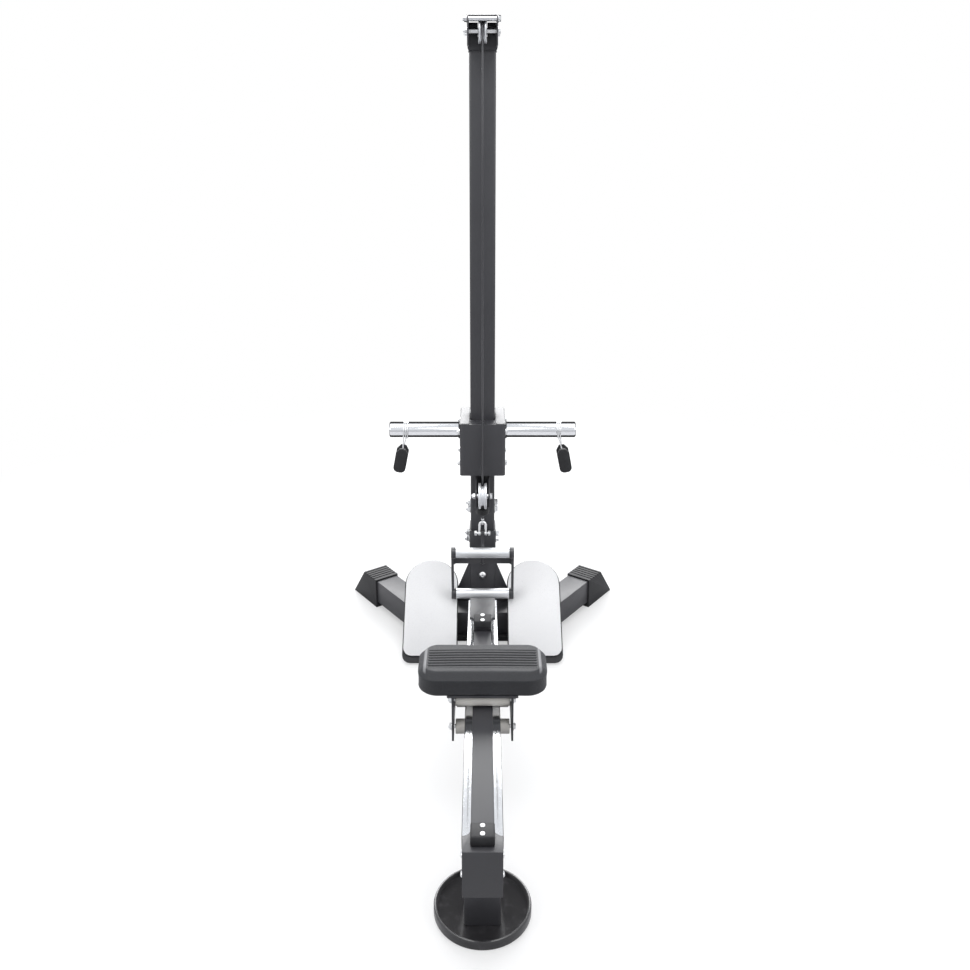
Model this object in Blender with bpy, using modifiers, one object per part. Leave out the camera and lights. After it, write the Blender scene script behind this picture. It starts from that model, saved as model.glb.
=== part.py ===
"""Seated row machine: a tower with a weight carriage, a cable over three pulleys, a rail and a rolling seat.

Metres, +Z up. The user sits towards -Y and faces +Y, where the tower stands.
"""

import math

import bmesh
import bpy
from mathutils import Vector
from mathutils.geometry import delaunay_2d_cdt

# Whole machine
MACHINE_LENGTH = 1.662
GAP = 0.0003
PLATE = 0.004

# Square frame tube
TUBE = 0.080
TUBE_WALL = 0.003
TUBE_CORNER = 0.006
FLOOR_CLEARANCE = 0.020

# Base: a cross tube whose two legs sweep forward to rubber boots
CROSS_HALF = 0.193
LEG_LENGTH = 0.244
LEG_SWEEP = math.radians(54)
BOOT_SOLE = 0.160
BOOT_CROWN = 0.082
BOOT_WALL = 0.005
BOOT_RIBS = 5
BOOT_RIB_PITCH = 0.014
BOOT_GROOVE = 0.0035
FLOOR_PAD_LENGTH = 0.220
FLOOR_PAD_LIP = 0.012
FOOTING_LENGTH = 0.150

# Tower
TOWER_FROM_CROSS = 0.079
TOWER_TOP = 1.857
TOWER_SIDE = 0.078
SOCKET_TOP = 0.357
SOCKET_WALL = 0.004
GUSSET_TOP = 0.253
GUSSET_SPREAD = 0.055
FOOT_SLAB = 0.008

# Weight carriage
TROLLEY_BOTTOM = 0.5695
TROLLEY_HEIGHT = 0.1715
TROLLEY_WIDTH = 0.1445
TROLLEY_WALL = 0.005
TROLLEY_CORNER = 0.010
ROLLER_SPACE = 0.045
GUIDE_RADIUS = 0.020
GUIDE_LENGTH = 0.060
GUIDE_INSET = 0.034
TOWER_SLOT = 0.002
BAR_RADIUS = 0.025
BAR_WALL = 0.003
BAR_REACH = 0.300
BAR_FLANGE_RADIUS = 0.0285
BAR_FLANGE = 0.005

# Spring collars
COLLAR_FROM_CENTRE = 0.246
COLLAR_WIRE = 0.002
COLLAR_TURNS = 2.5
COLLAR_PITCH = 0.006
COLLAR_POINTS = 12
COLLAR_GRIP_LENGTH = 0.086
COLLAR_GRIP_WIDTH = 0.040
COLLAR_GRIP_THICK = 0.012
COLLAR_LEG = 0.059
COLLAR_SPLAY = math.radians(11)
COLLAR_SPREAD = math.radians(-7)

# Cable and pulleys
CABLE_RADIUS = 0.003
CABLE_OFF_TROLLEY = 0.015
REAR_CABLE_OFF_TOWER = 0.030
TOP_PULLEY_HALF = 0.0118
LOW_PULLEY_HALF = 0.0132
GROOVE_HALF_WIDTH = 0.0045
PULLEY_BORE = 0.0063
TOP_PULLEY_RADIUS = 0.0355
TOP_PITCH_RADIUS = 0.0295
TOP_AXLE_RISE = 0.0525
LOW_PULLEY_RADIUS = 0.041
LOW_PITCH_RADIUS = 0.034
LOW_AXLE_Z = 0.521
AXLE_RADIUS = 0.006
SPACER_RADIUS = 0.0074
BOLT_HEAD_RADIUS = 0.0105
BOLT_HEAD = 0.006

# Top cheeks and tie bar
CHEEK_RISE = 0.042
CHEEK_MARGIN = 0.047
TIE_BAR_RISE = 0.030
TIE_BAR_AHEAD = 0.035
WEB_TOP_RISE = 0.0245
WEB_SLOT_HALF = 0.0135
WEB_SLOT_DROP = 0.014

# Low pulley bracket
BRACKET_INNER = 0.0185
BRACKET_RISE = 0.024
BRACKET_NOSE = 0.024
CATCH_THICK = 0.004
CATCH_HOLE = 0.005

# Cable end, shackle and handle
BUMPER_RADIUS = 0.0195
BUMPER_LENGTH = 0.0312
BUMPER_TAPER = 0.0065
BUMPER_TIP = 0.010
EYE_DROP = 0.0245
SWAGE_RADIUS = 0.005
SWAGE_RISE = 0.012
EYE_RADIUS = 0.010
EYE_HOLE = 0.0045
EYE_THICK = 0.006
SHACKLE_WIRE = 0.0035
SHACKLE_ARC = 0.00975
SHACKLE_DROP = 0.0295
SHACKLE_PIN = 0.0035
SHACKLE_PIN_HALF = 0.026
HANDLE_EYE_THICK = 0.010
HANDLE_EYE_RADIUS = 0.011
HANDLE_WIDTH = 0.201
GRIP_RADIUS = 0.0165
GRIP_CAP = 0.0145
HANDLE_SIDE = 0.008
HANDLE_SIDE_WIDTH = 0.018
UPPER_GRIP_BACK = -0.038
UPPER_GRIP_DROP = 0.051
LOWER_GRIP_BACK = -0.018
LOWER_GRIP_DROP = 0.206
CROSS_PLATE_HEIGHT = 0.046
CROSS_PLATE_THICK = 0.005
CROSS_PLATE_BACK = -0.015
CROSS_PLATE_DROP = 0.053

# Rail and seat travel
RAIL_TOP = 0.282
RAIL_HEIGHT = 0.040
STRIP = 0.0027
STRIP_TREAD = 0.0187
STRIP_SKIRT = 0.030
STOP_WIDTH = 0.050
STOP_LENGTH = 0.043
STOP_HEIGHT = 0.024
STOP_CORNER = 0.003

# Rail ends
REAR_BRACKET_DEPTH = 0.046
REAR_BRACKET_BOTTOM = 0.178
REAR_BRACKET_WIDTH = 0.083
TONGUE_WIDTH = 0.050
TONGUE_THICK = 0.0035
TONGUE_FILLET = 0.018
REAR_STOP_FROM_END = 0.014
REAR_POST_FROM_END = 0.138
DISC_FROM_END = 0.150
DISC_RADIUS = 0.108
DISC_FLOOR = 0.009
DISC_LIP = 0.022
DISC_LIP_WIDTH = 0.007
FRONT_PLATE_WIDTH = 0.074
FRONT_PLATE_LENGTH = 0.110
FRONT_TONGUE_REACH = 0.174
FRONT_POST_FROM_CROSS = 0.333
RAIL_OVERHANG = 0.042
FRONT_STOP_FROM_END = 0.129

# Foot plates
FOOT_FROM_CROSS = 0.056
FOOT_HEIGHT = 0.1305
FOOT_SPREAD = 0.168
FOOT_TILT = math.radians(40)
FOOT_PAD_WIDTH = 0.170
FOOT_PAD_LENGTH = 0.325
FOOT_PAD_THICK = 0.006
FOOT_CORNER = 0.026
FOOT_RIM = 0.003
FOOT_SKIRT = 0.020
FOOT_WEB_SPREAD = 0.030
FOOT_WEB_TOP = 0.090
FOOT_WEB_BOTTOM = -0.105
FOOT_WEB_LOW = 0.036

# Seat
SEAT_FROM_END = 0.550
SEAT_WIDTH = 0.322
SEAT_DEPTH = 0.154
SEAT_BOTTOM = 0.3225
SEAT_THICK = 0.060
SEAT_CORNER = 0.048
SEAT_BEVEL = 0.016
SEAT_CROWN = 0.003
SEAT_DRAW_IN = 0.002
SEAT_RIBS = 8
SEAT_GROOVE = 0.0025
CARRIAGE_HALF_WIDTH = 0.076
CARRIAGE_PLATE = 0.005
CARRIAGE_FLANGE = 0.0115
CARRIAGE_LENGTH = 0.150
CARRIAGE_BOTTOM = 0.195
UPPER_ROLLER_RADIUS = 0.0155
LOWER_ROLLER_RADIUS = 0.018
SEAT_ROLLER_SPREAD = 0.110
ROLLER_AXLE = 0.005

# Worked out from the sizes above
LEG_DIRECTION = Vector((math.cos(LEG_SWEEP), math.sin(LEG_SWEEP), 0))
LEG_SIDE = Vector((-math.sin(LEG_SWEEP), math.cos(LEG_SWEEP), 0))
BOOT_HALF_WIDTH = TUBE / 2 + BOOT_WALL
LEG_REACH = (LEG_LENGTH + GAP + BOOT_SOLE) * LEG_DIRECTION.y + BOOT_HALF_WIDTH * LEG_SIDE.y
REAR_END = -MACHINE_LENGTH / 2
CROSS_Y = MACHINE_LENGTH / 2 - LEG_REACH
BASE_TOP = FLOOR_CLEARANCE + TUBE
TOWER_Y = CROSS_Y + TOWER_FROM_CROSS
TOWER_FRONT = TOWER_Y - TOWER_SIDE / 2
TOWER_REAR = TOWER_Y + TOWER_SIDE / 2
TROLLEY_HALF_DEPTH = TOWER_SIDE / 2 + ROLLER_SPACE + TROLLEY_WALL
TROLLEY_TOP = TROLLEY_BOTTOM + TROLLEY_HEIGHT
BAR_Z = TROLLEY_BOTTOM + 0.732 * TROLLEY_HEIGHT
CABLE_Y = TOWER_Y - TROLLEY_HALF_DEPTH - CABLE_OFF_TROLLEY
REAR_CABLE_Y = TOWER_REAR + REAR_CABLE_OFF_TOWER
TOP_AXLE_Z = TOWER_TOP + TOP_AXLE_RISE
CHEEK_TOP = TOP_AXLE_Z + CHEEK_RISE
TOP_FRONT_Y = CABLE_Y + TOP_PITCH_RADIUS
TOP_REAR_Y = REAR_CABLE_Y - TOP_PITCH_RADIUS
LOW_PULLEY_Y = CABLE_Y - LOW_PITCH_RADIUS
CATCH_TOP = LOW_AXLE_Z - LOW_PULLEY_RADIUS - 0.003
BUMPER_TOP = CATCH_TOP - CATCH_THICK - GAP
BUMPER_BOTTOM = BUMPER_TOP - BUMPER_LENGTH
EYE_Z = BUMPER_BOTTOM - EYE_DROP
SHACKLE_TOP = EYE_Z
PIN_Z = SHACKLE_TOP - SHACKLE_DROP - SHACKLE_ARC
GRIP_LENGTH = HANDLE_WIDTH - 2 * GRIP_CAP
UPPER_GRIP_Y = CABLE_Y + UPPER_GRIP_BACK
UPPER_GRIP_Z = PIN_Z - UPPER_GRIP_DROP
LOWER_GRIP_Y = CABLE_Y + LOWER_GRIP_BACK
LOWER_GRIP_Z = PIN_Z - LOWER_GRIP_DROP
RAIL_BOTTOM = RAIL_TOP - RAIL_HEIGHT
STRIP_TOP = RAIL_TOP + STRIP
RAIL_REAR = REAR_END + REAR_BRACKET_DEPTH + GAP
FRONT_POST_Y = CROSS_Y - FRONT_POST_FROM_CROSS
RAIL_FRONT = FRONT_POST_Y + RAIL_OVERHANG
REAR_STOP_Y = REAR_END + REAR_STOP_FROM_END + STOP_LENGTH / 2
FRONT_STOP_Y = RAIL_FRONT - FRONT_STOP_FROM_END - STOP_LENGTH / 2
REAR_POST_Y = REAR_END + REAR_POST_FROM_END
DISC_Y = REAR_END + DISC_FROM_END
FOOT_Y = CROSS_Y - FOOT_FROM_CROSS
SEAT_Y = REAR_END + SEAT_FROM_END
UPPER_ROLLER_Z = STRIP_TOP + UPPER_ROLLER_RADIUS + GAP
LOWER_ROLLER_Z = RAIL_BOTTOM - LOWER_ROLLER_RADIUS - GAP


def make_collection(name):
    """A collection of its own under the scene."""
    group = bpy.data.collections.new(name)
    bpy.context.scene.collection.children.link(group)
    return group


for old in list(bpy.data.objects):
    bpy.data.objects.remove(old, do_unlink=True)
PARTS = make_collection("seated_row_machine")
CUTTERS = make_collection("cutters")
CUTTERS.hide_render = True


def finish(name, color, roughness, metallic):
    """A Principled material for one kind of surface."""
    made = bpy.data.materials.new(name)
    made.use_nodes = True
    shader = made.node_tree.nodes["Principled BSDF"]
    shader.inputs["Base Color"].default_value = (*color, 1.0)
    shader.inputs["Roughness"].default_value = roughness
    shader.inputs["Metallic"].default_value = metallic
    return made


FRAME_COAT = ("coat", (0.055, 0.055, 0.062), 0.45, 0.3)
CHROME = ("chrome", (0.82, 0.83, 0.85), 0.12, 1.0)
ZINC = ("zinc", (0.70, 0.71, 0.74), 0.30, 1.0)
SILVER = ("silver", (0.66, 0.68, 0.71), 0.35, 0.8)
RUBBER = ("rubber", (0.020, 0.020, 0.021), 0.75, 0.0)
VINYL = ("vinyl", (0.045, 0.046, 0.050), 0.55, 0.0)
WHITE_PAD = ("white_pad", (0.80, 0.81, 0.83), 0.60, 0.0)
NYLON = ("nylon", (0.52, 0.50, 0.47), 0.50, 0.0)
GLOSS_BLACK = ("gloss_black", (0.012, 0.012, 0.014), 0.15, 0.0)
CABLE_SKIN = ("cable_skin", (0.05, 0.05, 0.055), 0.40, 0.2)


def keep(obj, look):
    """Puts a finished piece among the parts, with a material of its own."""
    PARTS.objects.link(obj)
    kind, color, roughness, metallic = look
    obj.data.materials.clear()
    obj.data.materials.append(finish(f"{obj.name}_{kind}", color, roughness, metallic))
    return obj


def smooth(obj, angle=math.radians(35)):
    """Round faces shaded smooth, with sharp edges kept."""
    obj.data.shade_smooth()
    obj.data.set_sharp_from_angle(angle=angle)
    return obj


def arc(centre, radius, start, end, segments):
    """Points of an arc in the plane, both ends included."""
    steps = [start + (end - start) * i / segments for i in range(segments + 1)]
    return [(centre[0] + radius * math.cos(a), centre[1] + radius * math.sin(a)) for a in steps]


def rounded(corners, radii, segments=4):
    """A closed outline whose corners, given in order, are rounded by their radii."""
    points = []
    count = len(corners)
    for i, corner in enumerate(corners):
        here = Vector(corner)
        if radii[i] == 0:
            points.append(tuple(here))
            continue
        back = (Vector(corners[i - 1]) - here).normalized()
        ahead = (Vector(corners[(i + 1) % count]) - here).normalized()
        half = math.acos(max(-1.0, min(1.0, back.dot(ahead)))) / 2
        inset = radii[i] / math.tan(half)
        middle = here + (back + ahead).normalized() * radii[i] / math.sin(half)
        first = here + back * inset - middle
        last = here + ahead * inset - middle
        turn = math.atan2(first.x * last.y - first.y * last.x, first.dot(last))
        start = math.atan2(first.y, first.x)
        points += arc(middle, radii[i], start, start + turn, segments)
    return points


def box_outline(width, height, radius=0.0, segments=3):
    """A rectangle about the origin with equal rounded corners."""
    x, y = width / 2, height / 2
    return rounded([(-x, -y), (x, -y), (x, y), (-x, y)], [radius] * 4, segments)


def circle(centre, radius, points=20):
    return arc(centre, radius, 0, 2 * math.pi, points)[:-1]


TURN_TO = {
    "X": (math.pi / 2, 0, math.pi / 2),
    "Y": (math.pi / 2, 0, 0),
    "Z": (0, 0, 0),
}


def meshed(obj):
    """The evaluated object as a welded mesh object at the same place; the curve is removed."""
    name, place = obj.name, obj.matrix_world.copy()
    graph = bpy.context.evaluated_depsgraph_get()
    mesh = bpy.data.meshes.new_from_object(obj.evaluated_get(graph))
    shape = bmesh.new()
    shape.from_mesh(mesh)
    bmesh.ops.remove_doubles(shape, verts=shape.verts, dist=1e-6)
    bmesh.ops.recalc_face_normals(shape, faces=shape.faces)
    shape.to_mesh(mesh)
    shape.free()
    bpy.data.objects.remove(obj, do_unlink=True)
    made = bpy.data.objects.new(name, mesh)
    made.matrix_world = place
    return made


def encloses(outline, point):
    """Whether a point lies inside a closed outline, by the even and odd rule."""
    found = False
    x, y = point
    for (ax, ay), (bx, by) in zip(outline, outline[1:] + outline[:1]):
        if (ay > y) != (by > y) and x < ax + (bx - ax) * (y - ay) / (by - ay):
            found = not found
    return found


def plate(name, outlines, thickness, centre, normal="Z", turn=None):
    """A flat outline, with any holes, made solid about its centre. X and Y plates stand upright."""
    flat = [Vector(point) for outline in outlines for point in outline]
    rims = []
    for outline in outlines:
        first = len(rims)
        count = len(outline)
        rims += [(first + i, first + (i + 1) % count) for i in range(count)]
    points, _, triangles, *_ = delaunay_2d_cdt(flat, rims, [], 1, 1e-7)
    filled = []
    for triangle in triangles:
        middle = sum((points[i] for i in triangle), Vector((0, 0))) / 3
        if sum(encloses(outline, middle) for outline in outlines) % 2:
            filled.append(triangle)
    shape = bmesh.new()
    low = [shape.verts.new((*point, -thickness / 2)) for point in points]
    high = [shape.verts.new((*point, thickness / 2)) for point in points]
    sides = {(t[i], t[(i + 1) % 3]) for t in filled for i in range(3)}
    for triangle in filled:
        shape.faces.new([high[i] for i in triangle])
        shape.faces.new([low[i] for i in reversed(triangle)])
    for a, b in sorted(sides):
        if (b, a) not in sides:
            shape.faces.new((low[a], low[b], high[b], high[a]))
    bmesh.ops.delete(shape, geom=[v for v in shape.verts if not v.link_faces], context="VERTS")
    mesh = bpy.data.meshes.new(name)
    shape.to_mesh(mesh)
    shape.free()
    obj = bpy.data.objects.new(name, mesh)
    obj.location = centre
    obj.rotation_euler = TURN_TO[normal] if turn is None else turn
    return obj


def block(name, size, centre, bevel=0.0):
    """A box with its edges rounded."""
    shape = bmesh.new()
    bmesh.ops.create_cube(shape, size=1.0)
    bmesh.ops.scale(shape, vec=size, verts=shape.verts)
    mesh = bpy.data.meshes.new(name)
    shape.to_mesh(mesh)
    shape.free()
    obj = bpy.data.objects.new(name, mesh)
    obj.location = centre
    if bevel:
        edge = obj.modifiers.new("edge", "BEVEL")
        edge.width = bevel
        edge.segments = 2
    return obj


def turned(name, profile, centre, axis="Z", bored=False, steps=32):
    """A turned shape. The profile gives (radius, height), down the outer side from the top."""
    mesh = bpy.data.meshes.new(name)
    edges = [(i, i + 1) for i in range(len(profile) - 1)]
    if bored:
        edges.append((len(profile) - 1, 0))
    mesh.from_pydata([(r, 0, h) for r, h in profile], edges, [])
    obj = bpy.data.objects.new(name, mesh)
    obj.location = centre
    obj.rotation_euler = {"X": (0, math.pi / 2, 0), "Y": (-math.pi / 2, 0, 0), "Z": (0, 0, 0)}[axis]
    screw = obj.modifiers.new("turn", "SCREW")
    screw.steps = steps
    screw.render_steps = steps
    screw.use_merge_vertices = True
    screw.merge_threshold = 1e-5
    screw.use_smooth_shade = True
    return obj


def tube(name, points, radius, rings=2):
    """A wire along points, with filled caps."""
    curve = bpy.data.curves.new(name, "CURVE")
    curve.dimensions = "3D"
    curve.bevel_depth = radius
    curve.bevel_resolution = rings
    curve.use_fill_caps = True
    spline = curve.splines.new("POLY")
    spline.points.add(len(points) - 1)
    for point, place in zip(spline.points, points):
        point.co = (*place, 1)
    return bpy.data.objects.new(name, curve)


def combine(obj, others, operation="UNION"):
    """Joins pieces to an object, or cuts them from it, and hides them."""
    for other in others:
        CUTTERS.objects.link(other)
        other.hide_render = True
        other.display_type = "WIRE"
        step = obj.modifiers.new(f"{operation.lower()}_{other.name}", "BOOLEAN")
        step.operation = operation
        step.object = other
        step.solver = "EXACT"
    return obj


def drill(name, radius, length, centre, axis="X"):
    """A round cutter, or a round bar to join, along an axis."""
    shape = bmesh.new()
    bmesh.ops.create_cone(
        shape, cap_ends=True, segments=20, radius1=radius, radius2=radius, depth=length
    )
    mesh = bpy.data.meshes.new(name)
    shape.to_mesh(mesh)
    shape.free()
    obj = bpy.data.objects.new(name, mesh)
    obj.location = centre
    obj.rotation_euler = {"X": (0, math.pi / 2, 0), "Y": (math.pi / 2, 0, 0), "Z": (0, 0, 0)}[axis]
    return obj


def axis_empty(name, place):
    """An empty on a joint's axis, which carries the pieces that move with it."""
    empty = bpy.data.objects.new(name, None)
    empty.location = place
    empty.empty_display_size = 0.05
    PARTS.objects.link(empty)
    return empty


def carry(empty, pieces):
    """Parents pieces to an empty and leaves them where they are."""
    for piece in pieces:
        piece.parent = empty
        piece.matrix_parent_inverse.translation = -empty.location


def base_outline():
    """Plan of the base: the cross tube, its swept legs, the spine to the rail and the tower footing."""
    half = TUBE / 2
    bend = half * math.tan(LEG_SWEEP / 2)
    leg = LEG_DIRECTION * LEG_LENGTH
    right = [
        (half, FRONT_POST_Y + half - CROSS_Y),
        (half, -half),
        (CROSS_HALF + bend, -half),
        (CROSS_HALF + leg.x - half * LEG_SIDE.x, leg.y - half * LEG_SIDE.y),
        (CROSS_HALF + leg.x + half * LEG_SIDE.x, leg.y + half * LEG_SIDE.y),
        (CROSS_HALF - bend, half),
        (half, half),
        (half, FOOTING_LENGTH),
    ]
    return right + [(-x, y) for x, y in reversed(right)]


def base_bores(middle):
    """Cutters that hollow the base: one along each of its tubes, open at the tubes' ends."""
    inner = TUBE - 2 * TUBE_WALL
    bend = inner / 2 * math.tan(LEG_SWEEP / 2)
    bores = [block("cross_bore", (2 * (CROSS_HALF + bend), inner, inner), (0, CROSS_Y, middle))]
    spine_end = FRONT_POST_Y + TUBE / 2 - 0.004
    for name, low, high in (
        ("spine_bore", spine_end, CROSS_Y - 0.01),
        ("footing_bore", CROSS_Y + 0.01, CROSS_Y + FOOTING_LENGTH + 0.004),
    ):
        bores.append(block(name, (inner, high - low, inner), (0, (low + high) / 2, middle)))
    length = LEG_LENGTH + 0.004 + bend
    along = LEG_DIRECTION * (length / 2 - bend)
    for side, sign in (("left", -1), ("right", 1)):
        centre = (sign * (CROSS_HALF + along.x), CROSS_Y + along.y, middle)
        bore = block(f"leg_bore_{side}", (length, inner, inner), centre)
        bore.rotation_euler = (0, 0, LEG_SWEEP if sign > 0 else math.pi - LEG_SWEEP)
        bores.append(bore)
    return bores


def make_base():
    middle = FLOOR_CLEARANCE + TUBE / 2
    base = plate("base_frame", [base_outline()], TUBE, (0, CROSS_Y, middle))
    keep(combine(base, base_bores(middle), "DIFFERENCE"), FRAME_COAT)
    pad_depth = TUBE + FLOOR_PAD_LIP
    pad_top = FLOOR_CLEARANCE - GAP
    pad_centre = (0, CROSS_Y - FLOOR_PAD_LIP / 2, pad_top / 2)
    keep(block("floor_pad", (FLOOR_PAD_LENGTH, pad_depth, pad_top), pad_centre, 0.003), RUBBER)


def boot_profile():
    """Side view of a boot: sole, sloping toe and ribbed crown."""
    top = BASE_TOP + BOOT_WALL
    points = [(0, 0), (BOOT_SOLE, 0), (BOOT_CROWN, top)]
    for i in range(BOOT_RIBS):
        x = BOOT_CROWN - 0.008 - i * BOOT_RIB_PITCH
        points += [(x, top), (x, top - BOOT_GROOVE), (x - BOOT_GROOVE, top - BOOT_GROOVE)]
        points.append((x - BOOT_GROOVE, top))
    return points + [(0, top)]


def make_boots():
    start = Vector((CROSS_HALF, CROSS_Y, 0)) + LEG_DIRECTION * (LEG_LENGTH + GAP)
    for side, sign in (("left", -1), ("right", 1)):
        heading = LEG_SWEEP if sign > 0 else math.pi - LEG_SWEEP
        place = (sign * start.x, start.y, 0)
        turn = (math.pi / 2, 0, heading)
        boot = plate(f"boot_{side}", [boot_profile()], 2 * BOOT_HALF_WIDTH, place, turn=turn)
        keep(boot, RUBBER)


def make_tower():
    inner = TOWER_SIDE - 2 * TUBE_WALL
    outline = box_outline(TOWER_SIDE, TOWER_SIDE, TUBE_CORNER)
    bore = box_outline(inner, inner, TUBE_CORNER - TUBE_WALL)
    bottom = BASE_TOP + FOOT_SLAB + 2 * GAP
    height = TOWER_TOP - bottom
    tower = plate("tower", [outline, bore], height, (0, TOWER_Y, bottom + height / 2))
    keep(smooth(tower), FRAME_COAT)


def make_tower_foot():
    """The socket round the tower, its slab on the base and the two gussets, welded together."""
    inner = TOWER_SIDE + 2 * GAP
    outer = inner + 2 * SOCKET_WALL
    bottom = BASE_TOP + GAP
    height = SOCKET_TOP - bottom
    rings = [box_outline(outer, outer, TUBE_CORNER), box_outline(inner, inner, TUBE_CORNER)]
    socket = plate("tower_socket", rings, height, (0, TOWER_Y, bottom + height / 2))
    spread = outer / 2 + GUSSET_SPREAD
    slab_size = (2 * spread, outer, FOOT_SLAB)
    slab = block("foot_slab", slab_size, (0, TOWER_Y, bottom + FOOT_SLAB / 2))
    wall = outer / 2 - SOCKET_WALL / 2
    front = TOWER_Y - wall
    shapes = [slab]
    for side, sign in (("left", -1), ("right", 1)):
        corners = [(wall, bottom), (spread, bottom), (spread, bottom + 0.012), (wall, GUSSET_TOP)]
        outline = [(sign * x, z) for x, z in corners]
        shapes.append(plate(f"gusset_{side}", [outline], SOCKET_WALL, (0, front, 0), "Y"))
    keep(combine(socket, shapes), FRAME_COAT)


def pulley_profile(radius, pitch, rim):
    """A grooved wheel with a hub, as a closed profile down the outside and up the bore."""
    floor = pitch - CABLE_RADIUS - GAP
    web = 0.45 * rim
    hub = 0.36 * radius
    return [
        (hub, rim),
        (hub + 0.003, web),
        (radius - 0.010, web),
        (radius - 0.008, rim),
        (radius, rim),
        (radius, rim - 0.002),
        (floor + 0.001, GROOVE_HALF_WIDTH),
        (floor, GROOVE_HALF_WIDTH - 0.001),
        (floor, 0.001 - GROOVE_HALF_WIDTH),
        (floor + 0.001, -GROOVE_HALF_WIDTH),
        (radius, 0.002 - rim),
        (radius, -rim),
        (radius - 0.008, -rim),
        (radius - 0.010, -web),
        (hub + 0.003, -web),
        (hub, -rim),
        (PULLEY_BORE, -rim),
        (PULLEY_BORE, rim),
    ]


def axle_profile(wheel_half, plate_in, plate_out):
    """Half of an axle's side: bolt head, shank through the plate, spacer, and shank in the wheel."""
    spacer_end = wheel_half + GAP
    head_start = plate_out + GAP
    return [
        (0, head_start + BOLT_HEAD),
        (BOLT_HEAD_RADIUS, head_start + BOLT_HEAD),
        (BOLT_HEAD_RADIUS, head_start),
        (AXLE_RADIUS, head_start),
        (AXLE_RADIUS, plate_in - GAP),
        (SPACER_RADIUS, plate_in - GAP),
        (SPACER_RADIUS, spacer_end),
        (AXLE_RADIUS, spacer_end),
    ]


def make_axle(name, place, wheel_half, plate_in, plate_out):
    half = axle_profile(wheel_half, plate_in, plate_out)
    profile = half + [(r, -h) for r, h in reversed(half)]
    return keep(turned(name, profile, place, "X", steps=16), ZINC)


def make_top():
    """A folded bracket on the tower's head, the two top pulleys, their axles and the tie bar."""
    front = TOP_FRONT_Y - CHEEK_MARGIN
    rear = TOP_REAR_Y + CHEEK_MARGIN
    tie_y = TOP_FRONT_Y - TIE_BAR_AHEAD
    tie_z = TOP_AXLE_Z + TIE_BAR_RISE
    inside = TOWER_SIDE / 2 + GAP
    outside = inside + PLATE
    bottom = TOWER_TOP + GAP
    fold = 0.009
    inner_fold = fold - 0.6 * PLATE
    outer = [
        (-outside, bottom),
        (outside, bottom),
        (outside, CHEEK_TOP),
        (-outside, CHEEK_TOP),
    ]
    bore = [
        (-inside, bottom + PLATE),
        (inside, bottom + PLATE),
        (inside, CHEEK_TOP - PLATE),
        (-inside, CHEEK_TOP - PLATE),
    ]
    folds = [inner_fold, inner_fold, 0.001, 0.001]
    section = [rounded(outer, [fold] * 4, 3), rounded(bore, folds, 3)]
    middle_y = (front + rear) / 2
    bracket = plate("top_bracket", section, rear - front + 0.002, (0, middle_y, 0), "Y")
    waist = bottom + fold + 0.002
    corners = [
        (front, CHEEK_TOP),
        (front, waist),
        (TOWER_FRONT + 0.002, waist),
        (TOWER_FRONT + 0.002, bottom - 0.001),
        (TOWER_REAR - 0.002, bottom - 0.001),
        (TOWER_REAR - 0.002, waist),
        (rear, waist),
        (rear, CHEEK_TOP),
    ]
    hole = AXLE_RADIUS + GAP
    places = ((TOP_FRONT_Y, TOP_AXLE_Z), (TOP_REAR_Y, TOP_AXLE_Z), (tie_y, tie_z))
    wide = 2 * outside + 0.010
    shape = [rounded(corners, [0.020, 0, 0, 0, 0, 0, 0, 0.020])]
    shape += [circle(place, hole, 16) for place in places]
    envelope = plate("top_envelope", shape, wide, (0, 0, 0), "X")
    combine(bracket, [envelope], "INTERSECT")
    web_top = TOP_AXLE_Z + WEB_TOP_RISE
    slot_low = TOP_AXLE_Z - WEB_SLOT_DROP
    web_side = inside + 0.5 * PLATE
    web_low = bottom + 0.5 * PLATE
    web_shape = [
        (-web_side, web_low),
        (web_side, web_low),
        (web_side, web_top),
        (WEB_SLOT_HALF, web_top),
        (WEB_SLOT_HALF, slot_low),
        (-WEB_SLOT_HALF, slot_low),
        (-WEB_SLOT_HALF, web_top),
        (-web_side, web_top),
    ]
    web = plate("top_web", [web_shape], PLATE, (0, TOWER_FRONT + 0.002 + PLATE / 2, 0), "Y")
    keep(smooth(combine(bracket, [web])), FRAME_COAT)
    profile = pulley_profile(TOP_PULLEY_RADIUS, TOP_PITCH_RADIUS, TOP_PULLEY_HALF)
    for name, y in (("front", TOP_FRONT_Y), ("rear", TOP_REAR_Y)):
        place = (0, y, TOP_AXLE_Z)
        keep(turned(f"top_{name}_pulley", profile, place, "X", bored=True), SILVER)
        make_axle(f"top_{name}_axle", place, TOP_PULLEY_HALF, inside, outside)
    end = outside + GAP + BOLT_HEAD
    bar = [
        (0, end),
        (BOLT_HEAD_RADIUS, end),
        (BOLT_HEAD_RADIUS, outside + GAP),
        (AXLE_RADIUS, outside + GAP),
        (AXLE_RADIUS, inside - GAP),
        (SPACER_RADIUS, inside - GAP),
    ]
    bar += [(r, -h) for r, h in reversed(bar)]
    keep(turned("top_tie_bar", bar, (0, tie_y, tie_z), "X", steps=20), CHROME)


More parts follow.
